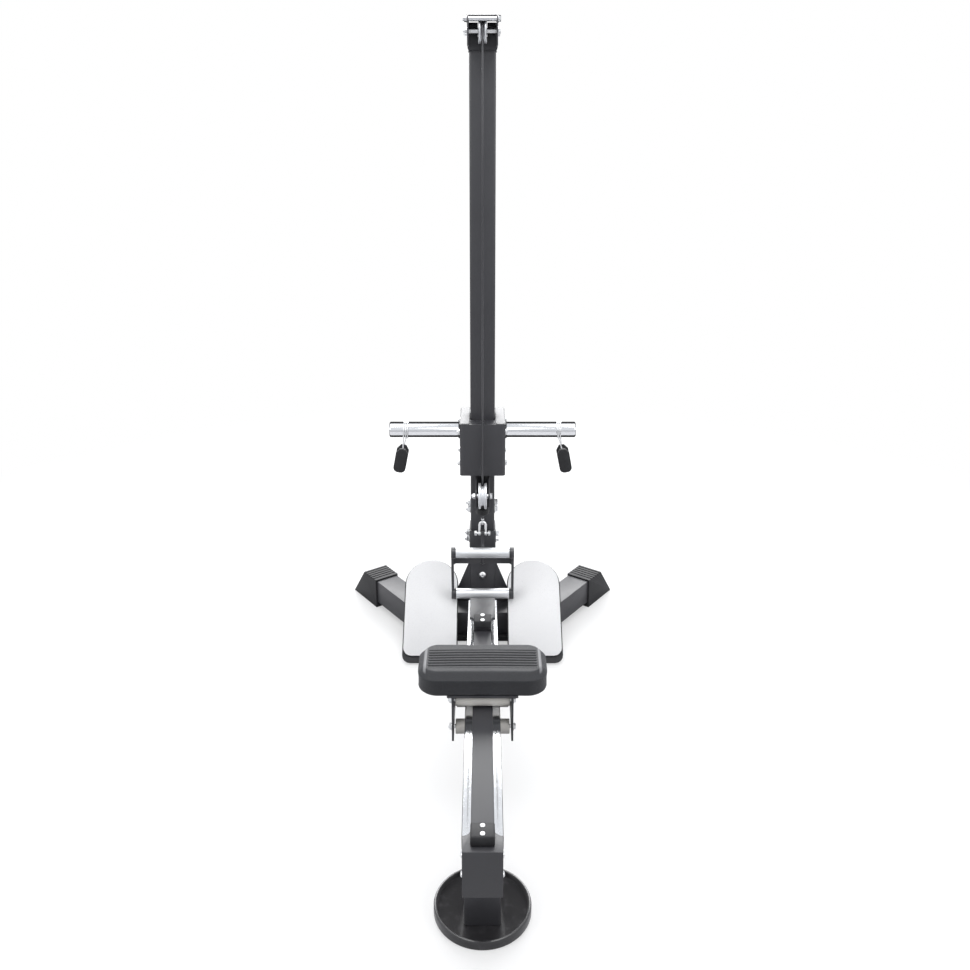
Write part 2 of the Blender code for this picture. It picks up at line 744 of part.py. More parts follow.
def make_low_pulley():
    """The low pulley in its bracket, whose lower plate carries the rubber bumper round the cable."""
    place = (0, LOW_PULLEY_Y, LOW_AXLE_Z)
    profile = pulley_profile(LOW_PULLEY_RADIUS, LOW_PITCH_RADIUS, LOW_PULLEY_HALF)
    keep(turned("low_pulley", profile, place, "X", bored=True), SILVER)
    make_axle("low_axle", place, LOW_PULLEY_HALF, BRACKET_INNER, BRACKET_INNER + PLATE)
    back = TOWER_FRONT - GAP
    nose = LOW_PULLEY_Y - BRACKET_NOSE
    low = CATCH_TOP - CATCH_THICK
    high = LOW_AXLE_Z + BRACKET_RISE
    seam = back - PLATE / 2
    step = CABLE_Y + BUMPER_RADIUS + 0.004
    corners = [(nose, low), (step, low), (seam, low - 0.030), (seam, high + 0.020), (nose, high)]
    outline = rounded(corners, [0.018, 0, 0, 0, 0.020])
    hole = circle((LOW_PULLEY_Y, LOW_AXLE_Z), AXLE_RADIUS + GAP, 16)
    sides = [
        plate(f"low_side_{i}", [outline, hole], PLATE, (sign * (BRACKET_INNER + PLATE / 2), 0, 0), "X")
        for i, sign in enumerate((-1, 1))
    ]
    width = 2 * (BRACKET_INNER + PLATE)
    back_size = (width + 0.010, PLATE, high - low + 0.064)
    web = block("low_web", back_size, (0, back - PLATE / 2, (high + low) / 2 - 0.005))
    catch_front = CABLE_Y - 0.016
    catch_size = (width - PLATE, seam - catch_front, CATCH_THICK)
    catch_centre = (0, (catch_front + seam) / 2, CATCH_TOP - CATCH_THICK / 2)
    catch = block("low_catch", catch_size, catch_centre)
    bracket = combine(sides[0], [sides[1], web, catch])
    bracket.name = "low_bracket"
    hole = drill("cable_hole", CATCH_HOLE, 0.020, (0, CABLE_Y, CATCH_TOP), "Z")
    keep(combine(bracket, [hole], "DIFFERENCE"), FRAME_COAT)


def make_cable():
    """The static run from the low pulley over both top pulleys, and the rear run to the trolley."""
    front = [(0, CABLE_Y, LOW_AXLE_Z + GAP), (0, CABLE_Y, TOP_AXLE_Z - 0.020)]
    over = arc((TOP_FRONT_Y, TOP_AXLE_Z), TOP_PITCH_RADIUS, math.pi, math.pi / 2, 6)
    down = arc((TOP_REAR_Y, TOP_AXLE_Z), TOP_PITCH_RADIUS, math.pi / 2, 0, 6)
    seam = TOP_AXLE_Z - 0.003
    bends = [(0, y, z) for y, z in over + down] + [(0, REAR_CABLE_Y, seam)]
    keep(tube("cable_front", front + bends, CABLE_RADIUS), CABLE_SKIN)
    anchor_top = TROLLEY_TOP + GAP + BOLT_HEAD
    rear = [(0, REAR_CABLE_Y, seam - GAP), (0, REAR_CABLE_Y, anchor_top + GAP)]
    keep(tube("cable_rear", rear, CABLE_RADIUS), CABLE_SKIN)


def make_trolley():
    """The sleeve that rides the tower, with its guide rollers, bars and the cable's anchor."""
    depth = 2 * TROLLEY_HALF_DEPTH
    centre = (0, TOWER_Y, TROLLEY_BOTTOM + TROLLEY_HEIGHT / 2)
    outer = box_outline(TROLLEY_WIDTH, depth, TROLLEY_CORNER)
    inset = 2 * TROLLEY_WALL
    inner = box_outline(TROLLEY_WIDTH - inset, depth - inset, TROLLEY_CORNER - TROLLEY_WALL)
    sleeve = plate("trolley_sleeve", [outer, inner], TROLLEY_HEIGHT, centre)
    slot_side = TOWER_SIDE + 2 * TOWER_SLOT
    lid_outline = box_outline(TROLLEY_WIDTH - TROLLEY_WALL, depth - TROLLEY_WALL)
    slot = box_outline(slot_side, slot_side, TUBE_CORNER)
    anchor = circle((0, REAR_CABLE_Y - TOWER_Y), AXLE_RADIUS + GAP, 16)
    lid_centre = (0, TOWER_Y, TROLLEY_TOP - TROLLEY_WALL / 2 - GAP)
    lid = plate("trolley_lid", [lid_outline, slot, anchor], TROLLEY_WALL, lid_centre)
    combine(sleeve, [lid])
    wheels = []
    holes = []
    low = TROLLEY_BOTTOM + GUIDE_INSET
    high = TROLLEY_TOP - GUIDE_INSET
    offset = TOWER_SIDE / 2 + GUIDE_RADIUS + GAP
    wall = TROLLEY_WIDTH / 2
    for level, z in (("low", low), ("high", high)):
        for face, sign in (("front", -1), ("rear", 1)):
            place = (0, TOWER_Y + sign * offset, z)
            name = f"guide_roller_{face}_{level}"
            wheels.append(make_roller(name, place, GUIDE_RADIUS, GUIDE_LENGTH / 2, wall, ZINC))
            holes.append(drill(f"{name}_hole", ROLLER_AXLE + GAP, 2 * wall + 0.01, place))
    combine(sleeve, holes, "DIFFERENCE")
    keep(sleeve, FRAME_COAT)
    under = TROLLEY_TOP - GAP - TROLLEY_WALL
    stud = [
        (0, TROLLEY_TOP + GAP + BOLT_HEAD),
        (BOLT_HEAD_RADIUS, TROLLEY_TOP + GAP + BOLT_HEAD),
        (BOLT_HEAD_RADIUS, TROLLEY_TOP + GAP),
        (AXLE_RADIUS, TROLLEY_TOP + GAP),
        (AXLE_RADIUS, under - GAP),
        (BOLT_HEAD_RADIUS, under - GAP),
        (BOLT_HEAD_RADIUS, under - GAP - BOLT_HEAD),
        (0, under - GAP - BOLT_HEAD),
    ]
    keep(turned("cable_anchor", stud, (0, REAR_CABLE_Y, 0), steps=20), ZINC)
    body = axis_empty("trolley_lift", (0, TOWER_Y, centre[2]))
    bars = [make_bar(side, sign) for side, sign in (("left", -1), ("right", 1))]
    carry(body, [sleeve, bpy.data.objects["cable_anchor"]] + bars)
    carry(body, wheels)


def make_roller(name, place, radius, half_length, wall, look):
    """A roller on its own axle, whose bolt heads lie outside the two walls."""
    out = wall + GAP
    half = [
        (0, out + BOLT_HEAD),
        (BOLT_HEAD_RADIUS, out + BOLT_HEAD),
        (BOLT_HEAD_RADIUS, out),
        (ROLLER_AXLE, out),
        (ROLLER_AXLE, half_length),
        (radius - 0.002, half_length),
        (radius, half_length - 0.002),
    ]
    profile = half + [(r, -h) for r, h in reversed(half)]
    return keep(turned(name, profile, place, "X", steps=20), look)


def make_bar(side, sign):
    """A chrome loading bar, hollow from its root, with a root flange."""
    root = TROLLEY_WIDTH / 2 + GAP
    tip = BAR_REACH
    bore = BAR_RADIUS - BAR_WALL
    profile = [
        (0, tip),
        (BAR_RADIUS - 0.003, tip),
        (BAR_RADIUS - 0.001, tip - 0.001),
        (BAR_RADIUS, tip - 0.003),
        (BAR_RADIUS, root + BAR_FLANGE),
        (BAR_FLANGE_RADIUS - 0.001, root + BAR_FLANGE),
        (BAR_FLANGE_RADIUS, root + BAR_FLANGE - 0.001),
        (BAR_FLANGE_RADIUS, root),
        (bore, root),
        (bore, tip - BAR_WALL),
        (0, tip - BAR_WALL),
    ]
    bar = turned(f"loading_bar_{side}", profile, (0, TOWER_Y, BAR_Z), "X", steps=40)
    if sign < 0:
        bar.rotation_euler = (0, -math.pi / 2, 0)
    return keep(bar, CHROME)


def collar_points(sign):
    """One wire: up from the user's side grip, round the bar, and down to the other grip."""
    ring = BAR_RADIUS + GAP + COLLAR_WIRE
    radius = ring / math.cos(math.pi / COLLAR_POINTS)
    count = round(COLLAR_TURNS * COLLAR_POINTS)
    width = COLLAR_TURNS * COLLAR_PITCH
    start_x = sign * COLLAR_FROM_CENTRE - width / 2
    coil = []
    for i in range(count + 1):
        angle = math.pi - 2 * math.pi * i / COLLAR_POINTS
        x = start_x + COLLAR_PITCH * i / COLLAR_POINTS
        coil.append((x, TOWER_Y + radius * math.cos(angle), BAR_Z + radius * math.sin(angle)))
    first = leg_end(coil[0], sign, -1)
    last = leg_end(coil[-1], sign, 1)
    return [first] + coil + [last]


def leg_end(top, sign, facing):
    """Where a leg of the spring meets its grip: down, splayed outwards and drawn to the other."""
    x = sign * (COLLAR_FROM_CENTRE + COLLAR_LEG * math.tan(COLLAR_SPLAY))
    y = top[1] + facing * COLLAR_LEG * math.tan(COLLAR_SPREAD)
    return (x, y, top[2] - COLLAR_LEG)


def make_collars():
    for side, sign in (("left", -1), ("right", 1)):
        points = collar_points(sign)
        spring = keep(tube(f"collar_spring_{side}", points, COLLAR_WIRE, 1), ZINC)
        pieces = [spring]
        for face, end, facing in (("front", points[0], -1), ("rear", points[-1], 1)):
            half = COLLAR_GRIP_LENGTH / 2
            corners = [
                (-0.008, half),
                (-COLLAR_GRIP_WIDTH / 2, half - 0.016),
                (-COLLAR_GRIP_WIDTH / 2, -half),
                (COLLAR_GRIP_WIDTH / 2, -half),
                (COLLAR_GRIP_WIDTH / 2, half - 0.016),
                (0.008, half),
            ]
            outline = rounded(corners, [0.004, 0.006, 0.016, 0.016, 0.006, 0.004])
            axis = Vector((sign * math.tan(COLLAR_SPLAY), facing * math.tan(COLLAR_SPREAD), -1))
            centre = Vector(end) + axis.normalized() * (half + GAP)
            turn = (math.pi / 2 + facing * COLLAR_SPREAD, -sign * COLLAR_SPLAY, 0)
            grip = plate(f"collar_grip_{side}_{face}", [outline], COLLAR_GRIP_THICK, centre, turn=turn)
            pieces.append(keep(grip, RUBBER))
        body = axis_empty(f"collar_slide_{side}", (sign * COLLAR_FROM_CENTRE, TOWER_Y, BAR_Z))
        carry(body, pieces)


def make_cable_end():
    """The eye and swage on the cable's end, the stretch that pays out, its bumper and the shackle."""
    swage_place = (0, CABLE_Y, EYE_Z + SWAGE_RISE - 0.004)
    swage = drill("cable_end", SWAGE_RADIUS, 0.008, swage_place, "Z")
    eye_shape = [circle((CABLE_Y, EYE_Z), EYE_RADIUS, 20), circle((CABLE_Y, EYE_Z), EYE_HOLE, 16)]
    eye = plate("cable_eye", eye_shape, EYE_THICK, (0, 0, 0), "X")
    keep(combine(swage, [eye]), ZINC)
    lead = [(0, CABLE_Y, LOW_AXLE_Z - GAP), (0, CABLE_Y, EYE_Z + SWAGE_RISE + GAP)]
    keep(tube("cable_lead", lead, CABLE_RADIUS), CABLE_SKIN)
    bore = CABLE_RADIUS + GAP
    bumper = [
        (bore + 0.009, BUMPER_TOP),
        (BUMPER_RADIUS, BUMPER_TOP - 0.010),
        (BUMPER_RADIUS, BUMPER_BOTTOM + BUMPER_TAPER),
        (BUMPER_TIP, BUMPER_BOTTOM),
        (bore, BUMPER_BOTTOM),
        (bore, BUMPER_TOP),
    ]
    keep(turned("cable_bumper", bumper, (0, CABLE_Y, 0), bored=True, steps=24), RUBBER)
    middle = PIN_Z + SHACKLE_DROP
    bend = arc((0, middle), SHACKLE_ARC, 0, math.pi, 10)
    bow = [(SHACKLE_ARC, CABLE_Y, PIN_Z - 0.002)] + [(x, CABLE_Y, z) for x, z in bend]
    bow.append((-SHACKLE_ARC, CABLE_Y, PIN_Z - 0.002))
    shackle = meshed_tube("shackle", bow, SHACKLE_WIRE)
    head = SHACKLE_PIN_HALF - 0.008
    pieces = [drill("shackle_pin", SHACKLE_PIN, 2 * SHACKLE_PIN_HALF - 0.002, (0, CABLE_Y, PIN_Z))]
    for name, x in (("shackle_ear_left", -SHACKLE_ARC), ("shackle_ear_right", SHACKLE_ARC)):
        pieces.append(drill(name, 0.0075, 0.0075, (x, CABLE_Y, PIN_Z)))
    for name, x in (("shackle_head", head + 0.004), ("shackle_nut", -head - 0.004)):
        pieces.append(drill(name, 0.0085, 0.008, (x, CABLE_Y, PIN_Z)))
    keep(combine(shackle, pieces), ZINC)
    body = axis_empty("handle_pull", (0, CABLE_Y, EYE_Z))
    names = ("cable_end", "shackle")
    carry(body, [bpy.data.objects[name] for name in names])


def meshed_tube(name, points, radius=CABLE_RADIUS):
    """A wire as a mesh, so that other shapes can be joined to it."""
    wire = tube(name, points, radius)
    bpy.context.scene.collection.objects.link(wire)
    bpy.context.view_layer.update()
    return meshed(wire)


def make_handle():
    """Two grips between side bars, with a cross plate and the eye that hangs on the shackle pin."""
    side_x = (HANDLE_WIDTH - HANDLE_SIDE) / 2
    rise = Vector((LOWER_GRIP_Y - UPPER_GRIP_Y, LOWER_GRIP_Z - UPPER_GRIP_Z))
    along = rise.normalized()
    across = Vector((-along.y, along.x)) * HANDLE_SIDE_WIDTH / 2
    upper = Vector((UPPER_GRIP_Y, UPPER_GRIP_Z))
    lower = Vector((LOWER_GRIP_Y, LOWER_GRIP_Z))
    tips = along * 0.012
    corners = [upper - tips + across, upper - tips - across, lower + tips - across, lower + tips + across]
    outline = rounded([tuple(corner) for corner in corners], [0.008] * 4)
    sides = [
        plate(f"handle_side_{i}", [outline], HANDLE_SIDE, (sign * side_x, 0, 0), "X")
        for i, sign in enumerate((-1, 1))
    ]
    frame = sides[0]
    frame.name = "handle_frame"
    plate_back = CABLE_Y + CROSS_PLATE_BACK
    half = side_x + HANDLE_SIDE / 2
    top = PIN_Z - CROSS_PLATE_DROP
    low = top - CROSS_PLATE_HEIGHT
    shape = [
        (-half + 0.020, top),
        (-half, top - 0.010),
        (-half, low - 0.010),
        (-half + 0.014, low),
        (half - 0.014, low),
        (half, low - 0.010),
        (half, top - 0.010),
        (half - 0.020, top),
    ]
    cross = plate("handle_cross", [shape], CROSS_PLATE_THICK, (0, plate_back, 0), "Y")
    hanger = [(plate_back - 0.008, low), (plate_back + 0.008, low)]
    hanger += arc((CABLE_Y, PIN_Z), HANDLE_EYE_RADIUS, 0, math.pi, 10)
    pin_hole = circle((CABLE_Y, PIN_Z), SHACKLE_PIN + GAP, 16)
    eye = plate("handle_eye", [hanger, pin_hole], HANDLE_EYE_THICK, (0, 0, 0), "X")
    ears = []
    for i, sign in enumerate((-1, 1)):
        reach = plate_back - UPPER_GRIP_Y
        ear_size = (HANDLE_SIDE, reach + 0.004, 0.018)
        ear_centre = (sign * side_x, UPPER_GRIP_Y + reach / 2, top - 0.020)
        ears.append(block(f"handle_ear_{i}", ear_size, ear_centre))
    caps = []
    outer = HANDLE_WIDTH / 2
    inner = GRIP_LENGTH / 2 + GAP
    for i, (y, z) in enumerate((upper, lower)):
        for j, sign in enumerate((-1, 1)):
            place = (sign * (outer + inner) / 2, y, z)
            caps.append(drill(f"handle_cap_{i}_{j}", GRIP_RADIUS + 0.002, outer - inner, place))
    keep(combine(frame, [sides[1], cross, eye] + ears + caps), FRAME_COAT)
    profile = [
        (0, GRIP_LENGTH / 2),
        (GRIP_RADIUS - 0.001, GRIP_LENGTH / 2),
        (GRIP_RADIUS, GRIP_LENGTH / 2 - 0.001),
        (GRIP_RADIUS, 0.001 - GRIP_LENGTH / 2),
        (GRIP_RADIUS - 0.001, -GRIP_LENGTH / 2),
        (0, -GRIP_LENGTH / 2),
    ]
    grips = []
    for name, (y, z) in (("grip_upper", upper), ("grip_lower", lower)):
        grips.append(keep(turned(name, profile, (0, y, z), "X", steps=28), SILVER))
    body = axis_empty("handle_swing", (0, CABLE_Y, PIN_Z))
    carry(body, [frame] + grips)


def make_rail():
    """The rail tube with a chrome strip over each top corner."""
    length = RAIL_FRONT - RAIL_REAR
    middle = (RAIL_FRONT + RAIL_REAR) / 2
    outline = box_outline(TUBE, RAIL_HEIGHT, TUBE_CORNER / 2)
    wall = 2 * TUBE_WALL
    bore = box_outline(TUBE - wall, RAIL_HEIGHT - wall)
    centre = (0, middle, RAIL_TOP - RAIL_HEIGHT / 2)
    keep(plate("rail", [outline, bore], length, centre, "Y"), FRAME_COAT)
    edge = TUBE / 2 + GAP
    top = STRIP_TOP
    under = RAIL_TOP + GAP
    tread = edge + STRIP - STRIP_TREAD
    for side, sign in (("left", -1), ("right", 1)):
        corners = [
            (tread, under),
            (tread, top),
            (edge + STRIP, top),
            (edge + STRIP, top - STRIP_SKIRT),
            (edge, top - STRIP_SKIRT),
            (edge, under),
        ]
        outline = rounded([(sign * x, z) for x, z in corners], [0, 0.0006, 0.0022, 0.0006, 0, 0], 3)
        strip_centre = (0, middle, 0)
        keep(plate(f"rail_strip_{side}", [outline], length, strip_centre, "Y"), CHROME)


def tongue_outline(wide, body, tongue, total):
    """Plan of a rail end plate, from its end at the origin: wide, then filleted to a narrow tongue."""
    half = TONGUE_WIDTH / 2
    fillet = min(TONGUE_FILLET, wide / 2 - half, total - body)
    right = [(wide / 2, 0), (wide / 2, body)]
    hollow = arc((half + fillet, body + fillet), fillet, -math.pi / 2, -math.pi, 5)
    right += hollow
    right.append((tongue / 2, total))
    return right + [(-x, y) for x, y in reversed(right)]


def make_rail_ends():
    """Rear bracket, post and foot disc; front plate, end wall and post; and the two stops."""
    top = STRIP_TOP + GAP
    depth = REAR_BRACKET_DEPTH
    height = top + TONGUE_THICK - REAR_BRACKET_BOTTOM
    centre = (0, REAR_END + depth / 2, REAR_BRACKET_BOTTOM + height / 2)
    bracket = block("rear_bracket", (REAR_BRACKET_WIDTH, depth, height), centre)
    reach = REAR_STOP_FROM_END + STOP_LENGTH + 0.012
    outline = tongue_outline(REAR_BRACKET_WIDTH, depth, TONGUE_WIDTH, reach)
    plate_z = top + TONGUE_THICK / 2
    tongue = plate("rear_tongue", [outline], TONGUE_THICK, (0, REAR_END, plate_z))
    keep(combine(bracket, [tongue]), FRAME_COAT)
    make_post("rear_post", REAR_POST_Y, DISC_FLOOR + GAP, RAIL_BOTTOM - GAP)
    disc = [
        (0, DISC_FLOOR),
        (DISC_RADIUS - DISC_LIP_WIDTH - 0.006, DISC_FLOOR),
        (DISC_RADIUS - DISC_LIP_WIDTH, DISC_FLOOR + 0.004),
        (DISC_RADIUS - DISC_LIP_WIDTH, DISC_LIP - 0.001),
        (DISC_RADIUS - DISC_LIP_WIDTH + 0.001, DISC_LIP),
        (DISC_RADIUS - 0.002, DISC_LIP),
        (DISC_RADIUS, DISC_LIP - 0.002),
        (DISC_RADIUS, 0.002),
        (DISC_RADIUS - 0.002, 0),
        (0, 0),
    ]
    keep(turned("rear_disc", disc, (0, DISC_Y, 0), steps=56), GLOSS_BLACK)
    length = FRONT_PLATE_LENGTH
    tongue = tongue_outline(FRONT_PLATE_WIDTH, length, TONGUE_WIDTH, FRONT_TONGUE_REACH)
    outline = [(x, -y) for x, y in tongue]
    nose = RAIL_FRONT + GAP + PLATE
    front = plate("front_bracket", [outline], TONGUE_THICK, (0, nose, plate_z))
    wall_top = plate_z
    wall_height = wall_top - BASE_TOP - GAP
    wall_centre = (0, nose - 0.0005 - PLATE / 2, wall_top - wall_height / 2)
    wall_size = (FRONT_PLATE_WIDTH - 0.002, PLATE - 0.0005, wall_height)
    wall = block("front_wall", wall_size, wall_centre)
    keep(combine(front, [wall]), FRAME_COAT)
    make_post("front_post", FRONT_POST_Y, BASE_TOP + GAP, RAIL_BOTTOM - GAP)
    stop_z = top + TONGUE_THICK + GAP + STOP_HEIGHT / 2
    for name, y in (("rear_stop", REAR_STOP_Y), ("front_stop", FRONT_STOP_Y)):
        size = (STOP_WIDTH, STOP_LENGTH, STOP_HEIGHT)
        keep(block(name, size, (0, y, stop_z), STOP_CORNER), RUBBER)


def make_post(name, y, low, high):
    outline = box_outline(TUBE, TUBE, TUBE_CORNER)
    side = TUBE - 2 * TUBE_WALL
    bore = box_outline(side, side, TUBE_CORNER - TUBE_WALL)
    post = plate(name, [outline, bore], high - low, (0, y, (low + high) / 2))
    keep(smooth(post), FRAME_COAT)


def foot_outline(grow, skirt):
    """A foot pad's outline: round at the top, soft corners at the foot."""
    half = FOOT_PAD_WIDTH / 2 + grow
    top = FOOT_PAD_LENGTH / 2 + grow
    bottom = -FOOT_PAD_LENGTH / 2 - skirt
    low = rounded(
        [(-half, 0), (-half, bottom), (half, bottom), (half, 0)], [0, FOOT_CORNER, FOOT_CORNER, 0]
    )
    return low + arc((0, top - half), half, 0, math.pi, 20)


def make_foot_plates():
    """On each side a padded plate, tilted, on a bracket that stands on the cross tube."""
    normal = Vector((0, -math.sin(FOOT_TILT), math.cos(FOOT_TILT)))
    slope = Vector((0, math.cos(FOOT_TILT), math.sin(FOOT_TILT)))
    turn = (FOOT_TILT, 0, 0)
    pad_sink = FOOT_PAD_THICK / 2
    plate_sink = FOOT_PAD_THICK + GAP + PLATE / 2
    face_sink = plate_sink + PLATE + GAP
    weld_y = CROSS_Y - TUBE / 2 - GAP
    for side, sign in (("left", -1), ("right", 1)):
        middle = Vector((sign * FOOT_SPREAD, FOOT_Y, FOOT_HEIGHT))
        pad = plate(
            f"foot_pad_{side}", [foot_outline(0, 0)], FOOT_PAD_THICK, middle - normal * pad_sink, turn=turn
        )
        keep(pad, WHITE_PAD)
        outline = foot_outline(FOOT_RIM, FOOT_SKIRT)
        base = plate(f"foot_plate_{side}", [outline], PLATE, middle - normal * plate_sink, turn=turn)
        keep(base, RUBBER)
        spread = FOOT_WEB_SPREAD + PLATE / 2
        face_shape = [
            (-spread, FOOT_WEB_BOTTOM),
            (spread, FOOT_WEB_BOTTOM),
            (spread, FOOT_WEB_TOP),
            (-spread, FOOT_WEB_TOP),
        ]
        face_centre = middle - normal * face_sink
        face = plate(f"foot_bracket_{side}", [face_shape], PLATE, face_centre, turn=turn)
        high = face_centre + slope * FOOT_WEB_TOP
        low = face_centre + slope * FOOT_WEB_BOTTOM
        web_shape = [
            (low.y, low.z),
            (weld_y, FOOT_WEB_LOW),
            (weld_y, BASE_TOP + GAP),
            (weld_y + 0.9 * TUBE, BASE_TOP + GAP),
            (high.y, high.z),
        ]
        pieces = []
        for i, part in enumerate((-1, 1)):
            place = (middle.x + part * FOOT_WEB_SPREAD, 0, 0)
            pieces.append(plate(f"foot_web_{side}_{i}", [web_shape], PLATE, place, "X"))
        weld_height = BASE_TOP - 0.006 - FOOT_WEB_LOW
        weld_size = (2 * spread + 0.020, PLATE, weld_height)
        weld_centre = (middle.x, weld_y - PLATE / 2, FOOT_WEB_LOW + weld_height / 2)
        pieces.append(block(f"foot_weld_{side}", weld_size, weld_centre))
        keep(combine(face, pieces), FRAME_COAT)


def seat_height(x, y):
    """Height of the seat's top over its rim: a crown, with grooves from side to side."""
    across = min(1.0, abs(x) / (SEAT_WIDTH / 2 - SEAT_BEVEL))
    along = min(1.0, abs(y) / (SEAT_DEPTH / 2 - SEAT_BEVEL))
    crown = SEAT_CROWN * (1 - across**2) * (1 - along**2)
    return crown


def seat_half_outline(x_share, y_share, inset):
    """A point of the seat's plan, from its shares of a square, drawn in by an inset."""
    half_x = SEAT_WIDTH / 2 - inset
    half_y = SEAT_DEPTH / 2 - inset
    corner = max(SEAT_CORNER - inset, 0.006)
    x, y = x_share * half_x, y_share * half_y
    over_x = abs(x) - (half_x - corner)
    over_y = abs(y) - (half_y - corner)
    if over_x > 0 and over_y > 0:
        edge = max(over_x, over_y) / math.hypot(over_x, over_y)
        x = math.copysign(half_x - corner + over_x * edge, x)
        y = math.copysign(half_y - corner + over_y * edge, y)
    return x, y


def make_seat():
    """The padded seat, its carriage under it and the rollers that hold the rail between them."""
    rows = 4 * SEAT_RIBS
    columns = 12
    levels = (
        (0.0, 0.006),
        (0.10, 0.001),
        (0.45, SEAT_DRAW_IN * 0.4),
        (0.70, 0.0),
        (0.75, 0.0014),
        (0.95, SEAT_BEVEL * 0.76),
        (1.0, SEAT_BEVEL),
    )
    shape = bmesh.new()
    rings = []
    for share, inset in levels:
        ring = []
        for step in range(2 * (rows + columns)):
            u, v = ring_share(step, rows, columns)
            x, y = seat_half_outline(u, v, inset)
            ring.append(shape.verts.new((x, y, share * SEAT_THICK)))
        rings.append(ring)
    for lower, upper in zip(rings, rings[1:]):
        for i in range(len(lower)):
            j = (i + 1) % len(lower)
            shape.faces.new((lower[i], lower[j], upper[j], upper[i]))
    shape.faces.new(tuple(reversed(rings[0])))
    top = {}
    for step, vert in enumerate(rings[-1]):
        top[ring_cell(step, rows, columns)] = vert
    for i in range(1, columns):
        for j in range(1, rows):
            u, v = 2 * i / columns - 1, 2 * j / rows - 1
            x, y = seat_half_outline(u, v, SEAT_BEVEL)
            groove = SEAT_GROOVE if j % 4 == 0 else 0.0
            z = SEAT_THICK + seat_height(x, y) - groove
            top[(i, j)] = shape.verts.new((x, y, z))
    for i in range(columns):
        for j in range(rows):
            shape.faces.new((top[(i, j)], top[(i + 1, j)], top[(i + 1, j + 1)], top[(i, j + 1)]))
    bmesh.ops.recalc_face_normals(shape, faces=shape.faces)
    mesh = bpy.data.meshes.new("seat_pad")
    shape.to_mesh(mesh)
    shape.free()
    pad = bpy.data.objects.new("seat_pad", mesh)
    pad.location = (0, SEAT_Y, SEAT_BOTTOM)
    keep(smooth(pad, math.radians(50)), VINYL)
    body = axis_empty("seat_slide", (0, SEAT_Y, SEAT_BOTTOM))
    carry(body, [pad] + make_carriage())


def ring_cell(step, rows, columns):
    """Grid cell on the rim for a step round it, counter-clockwise from one corner."""
    if step < columns:
        return step, 0
    step -= columns
    if step < rows:
        return columns, step
    step -= rows
    if step < columns:
        return columns - step, rows
    return 0, rows - (step - columns)


def ring_share(step, rows, columns):
    i, j = ring_cell(step, rows, columns)
    return 2 * i / columns - 1, 2 * j / rows - 1


def make_carriage():
    """A folded plate: flat under the seat, sides down past the rail, flanges turned out."""
    top = SEAT_BOTTOM - GAP
    half = CARRIAGE_HALF_WIDTH
    out = half + CARRIAGE_FLANGE
    thick = CARRIAGE_PLATE
    right = [
        (half - thick, top - thick),
        (half - thick, CARRIAGE_BOTTOM),
        (half, CARRIAGE_BOTTOM),
        (half, top - thick),
        (out, top - thick),
        (out, top),
    ]
    outline = [(-x, z) for x, z in right] + [(x, z) for x, z in reversed(right)]
    carriage = plate("seat_carriage", [outline], CARRIAGE_LENGTH, (0, SEAT_Y, 0), "Y")
    wheels = []
    holes = []
    for end, sign in (("rear", -1), ("front", 1)):
        y = SEAT_Y + sign * SEAT_ROLLER_SPREAD / 2
        for level, z, radius in (
            ("upper", UPPER_ROLLER_Z, UPPER_ROLLER_RADIUS),
            ("lower", LOWER_ROLLER_Z, LOWER_ROLLER_RADIUS),
        ):
            name = f"seat_roller_{end}_{level}"
            length = half - thick - 0.004
            place = (0, y, z)
            wheels.append(make_roller(name, place, radius, length, half, NYLON))
            holes.append(drill(f"{name}_hole", ROLLER_AXLE + GAP, 2 * half + 0.01, place))
    keep(combine(carriage, holes, "DIFFERENCE"), FRAME_COAT)
    return [carriage] + wheels


def report_collar_gap():
    """Least gap of a collar's wire to itself, measured between its turns."""
    points = [Vector(point) for point in collar_points(1)]
    least = math.inf
    for i, first in enumerate(points):
        for second in points[i + COLLAR_POINTS // 2 :]:
            least = min(least, (first - second).length)
    print(f"collar spring: least gap to itself {1000 * (least - 2 * COLLAR_WIRE):.2f} mm")


make_base()
make_boots()
make_tower()
make_tower_foot()
make_top()
make_low_pulley()
make_cable()
make_trolley()
make_collars()
make_cable_end()
make_handle()
make_rail()
make_rail_ends()
make_foot_plates()
make_seat()
report_collar_gap()
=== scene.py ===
"""Looks of the seated row machine: finishes, fasteners, welds, padding, floor, light and camera.

Metres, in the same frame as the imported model: +Z up, the user sits towards -Y and faces +Y.
"""

import math

import bmesh
import bpy
from bpy.props import FloatProperty, FloatVectorProperty, PointerProperty
from mathutils import Matrix, Vector, noise


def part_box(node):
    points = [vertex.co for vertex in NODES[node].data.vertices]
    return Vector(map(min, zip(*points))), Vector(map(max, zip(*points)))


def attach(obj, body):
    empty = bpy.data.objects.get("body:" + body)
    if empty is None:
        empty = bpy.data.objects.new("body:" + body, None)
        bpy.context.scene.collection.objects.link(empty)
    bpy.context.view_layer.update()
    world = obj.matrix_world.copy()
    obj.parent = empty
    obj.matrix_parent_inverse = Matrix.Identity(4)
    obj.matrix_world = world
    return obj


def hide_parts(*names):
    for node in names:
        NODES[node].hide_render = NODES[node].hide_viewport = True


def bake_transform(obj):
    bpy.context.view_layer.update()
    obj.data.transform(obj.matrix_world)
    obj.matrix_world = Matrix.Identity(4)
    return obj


bl_info = {
    "name": "Seated row machine looks",
    "version": (1, 0, 0),
    "blender": (4, 5, 0),
    "location": "View3D > Sidebar > Row machine",
    "description": "Dresses the packed row machine with detailed pieces and finishes",
    "category": "Object",
}

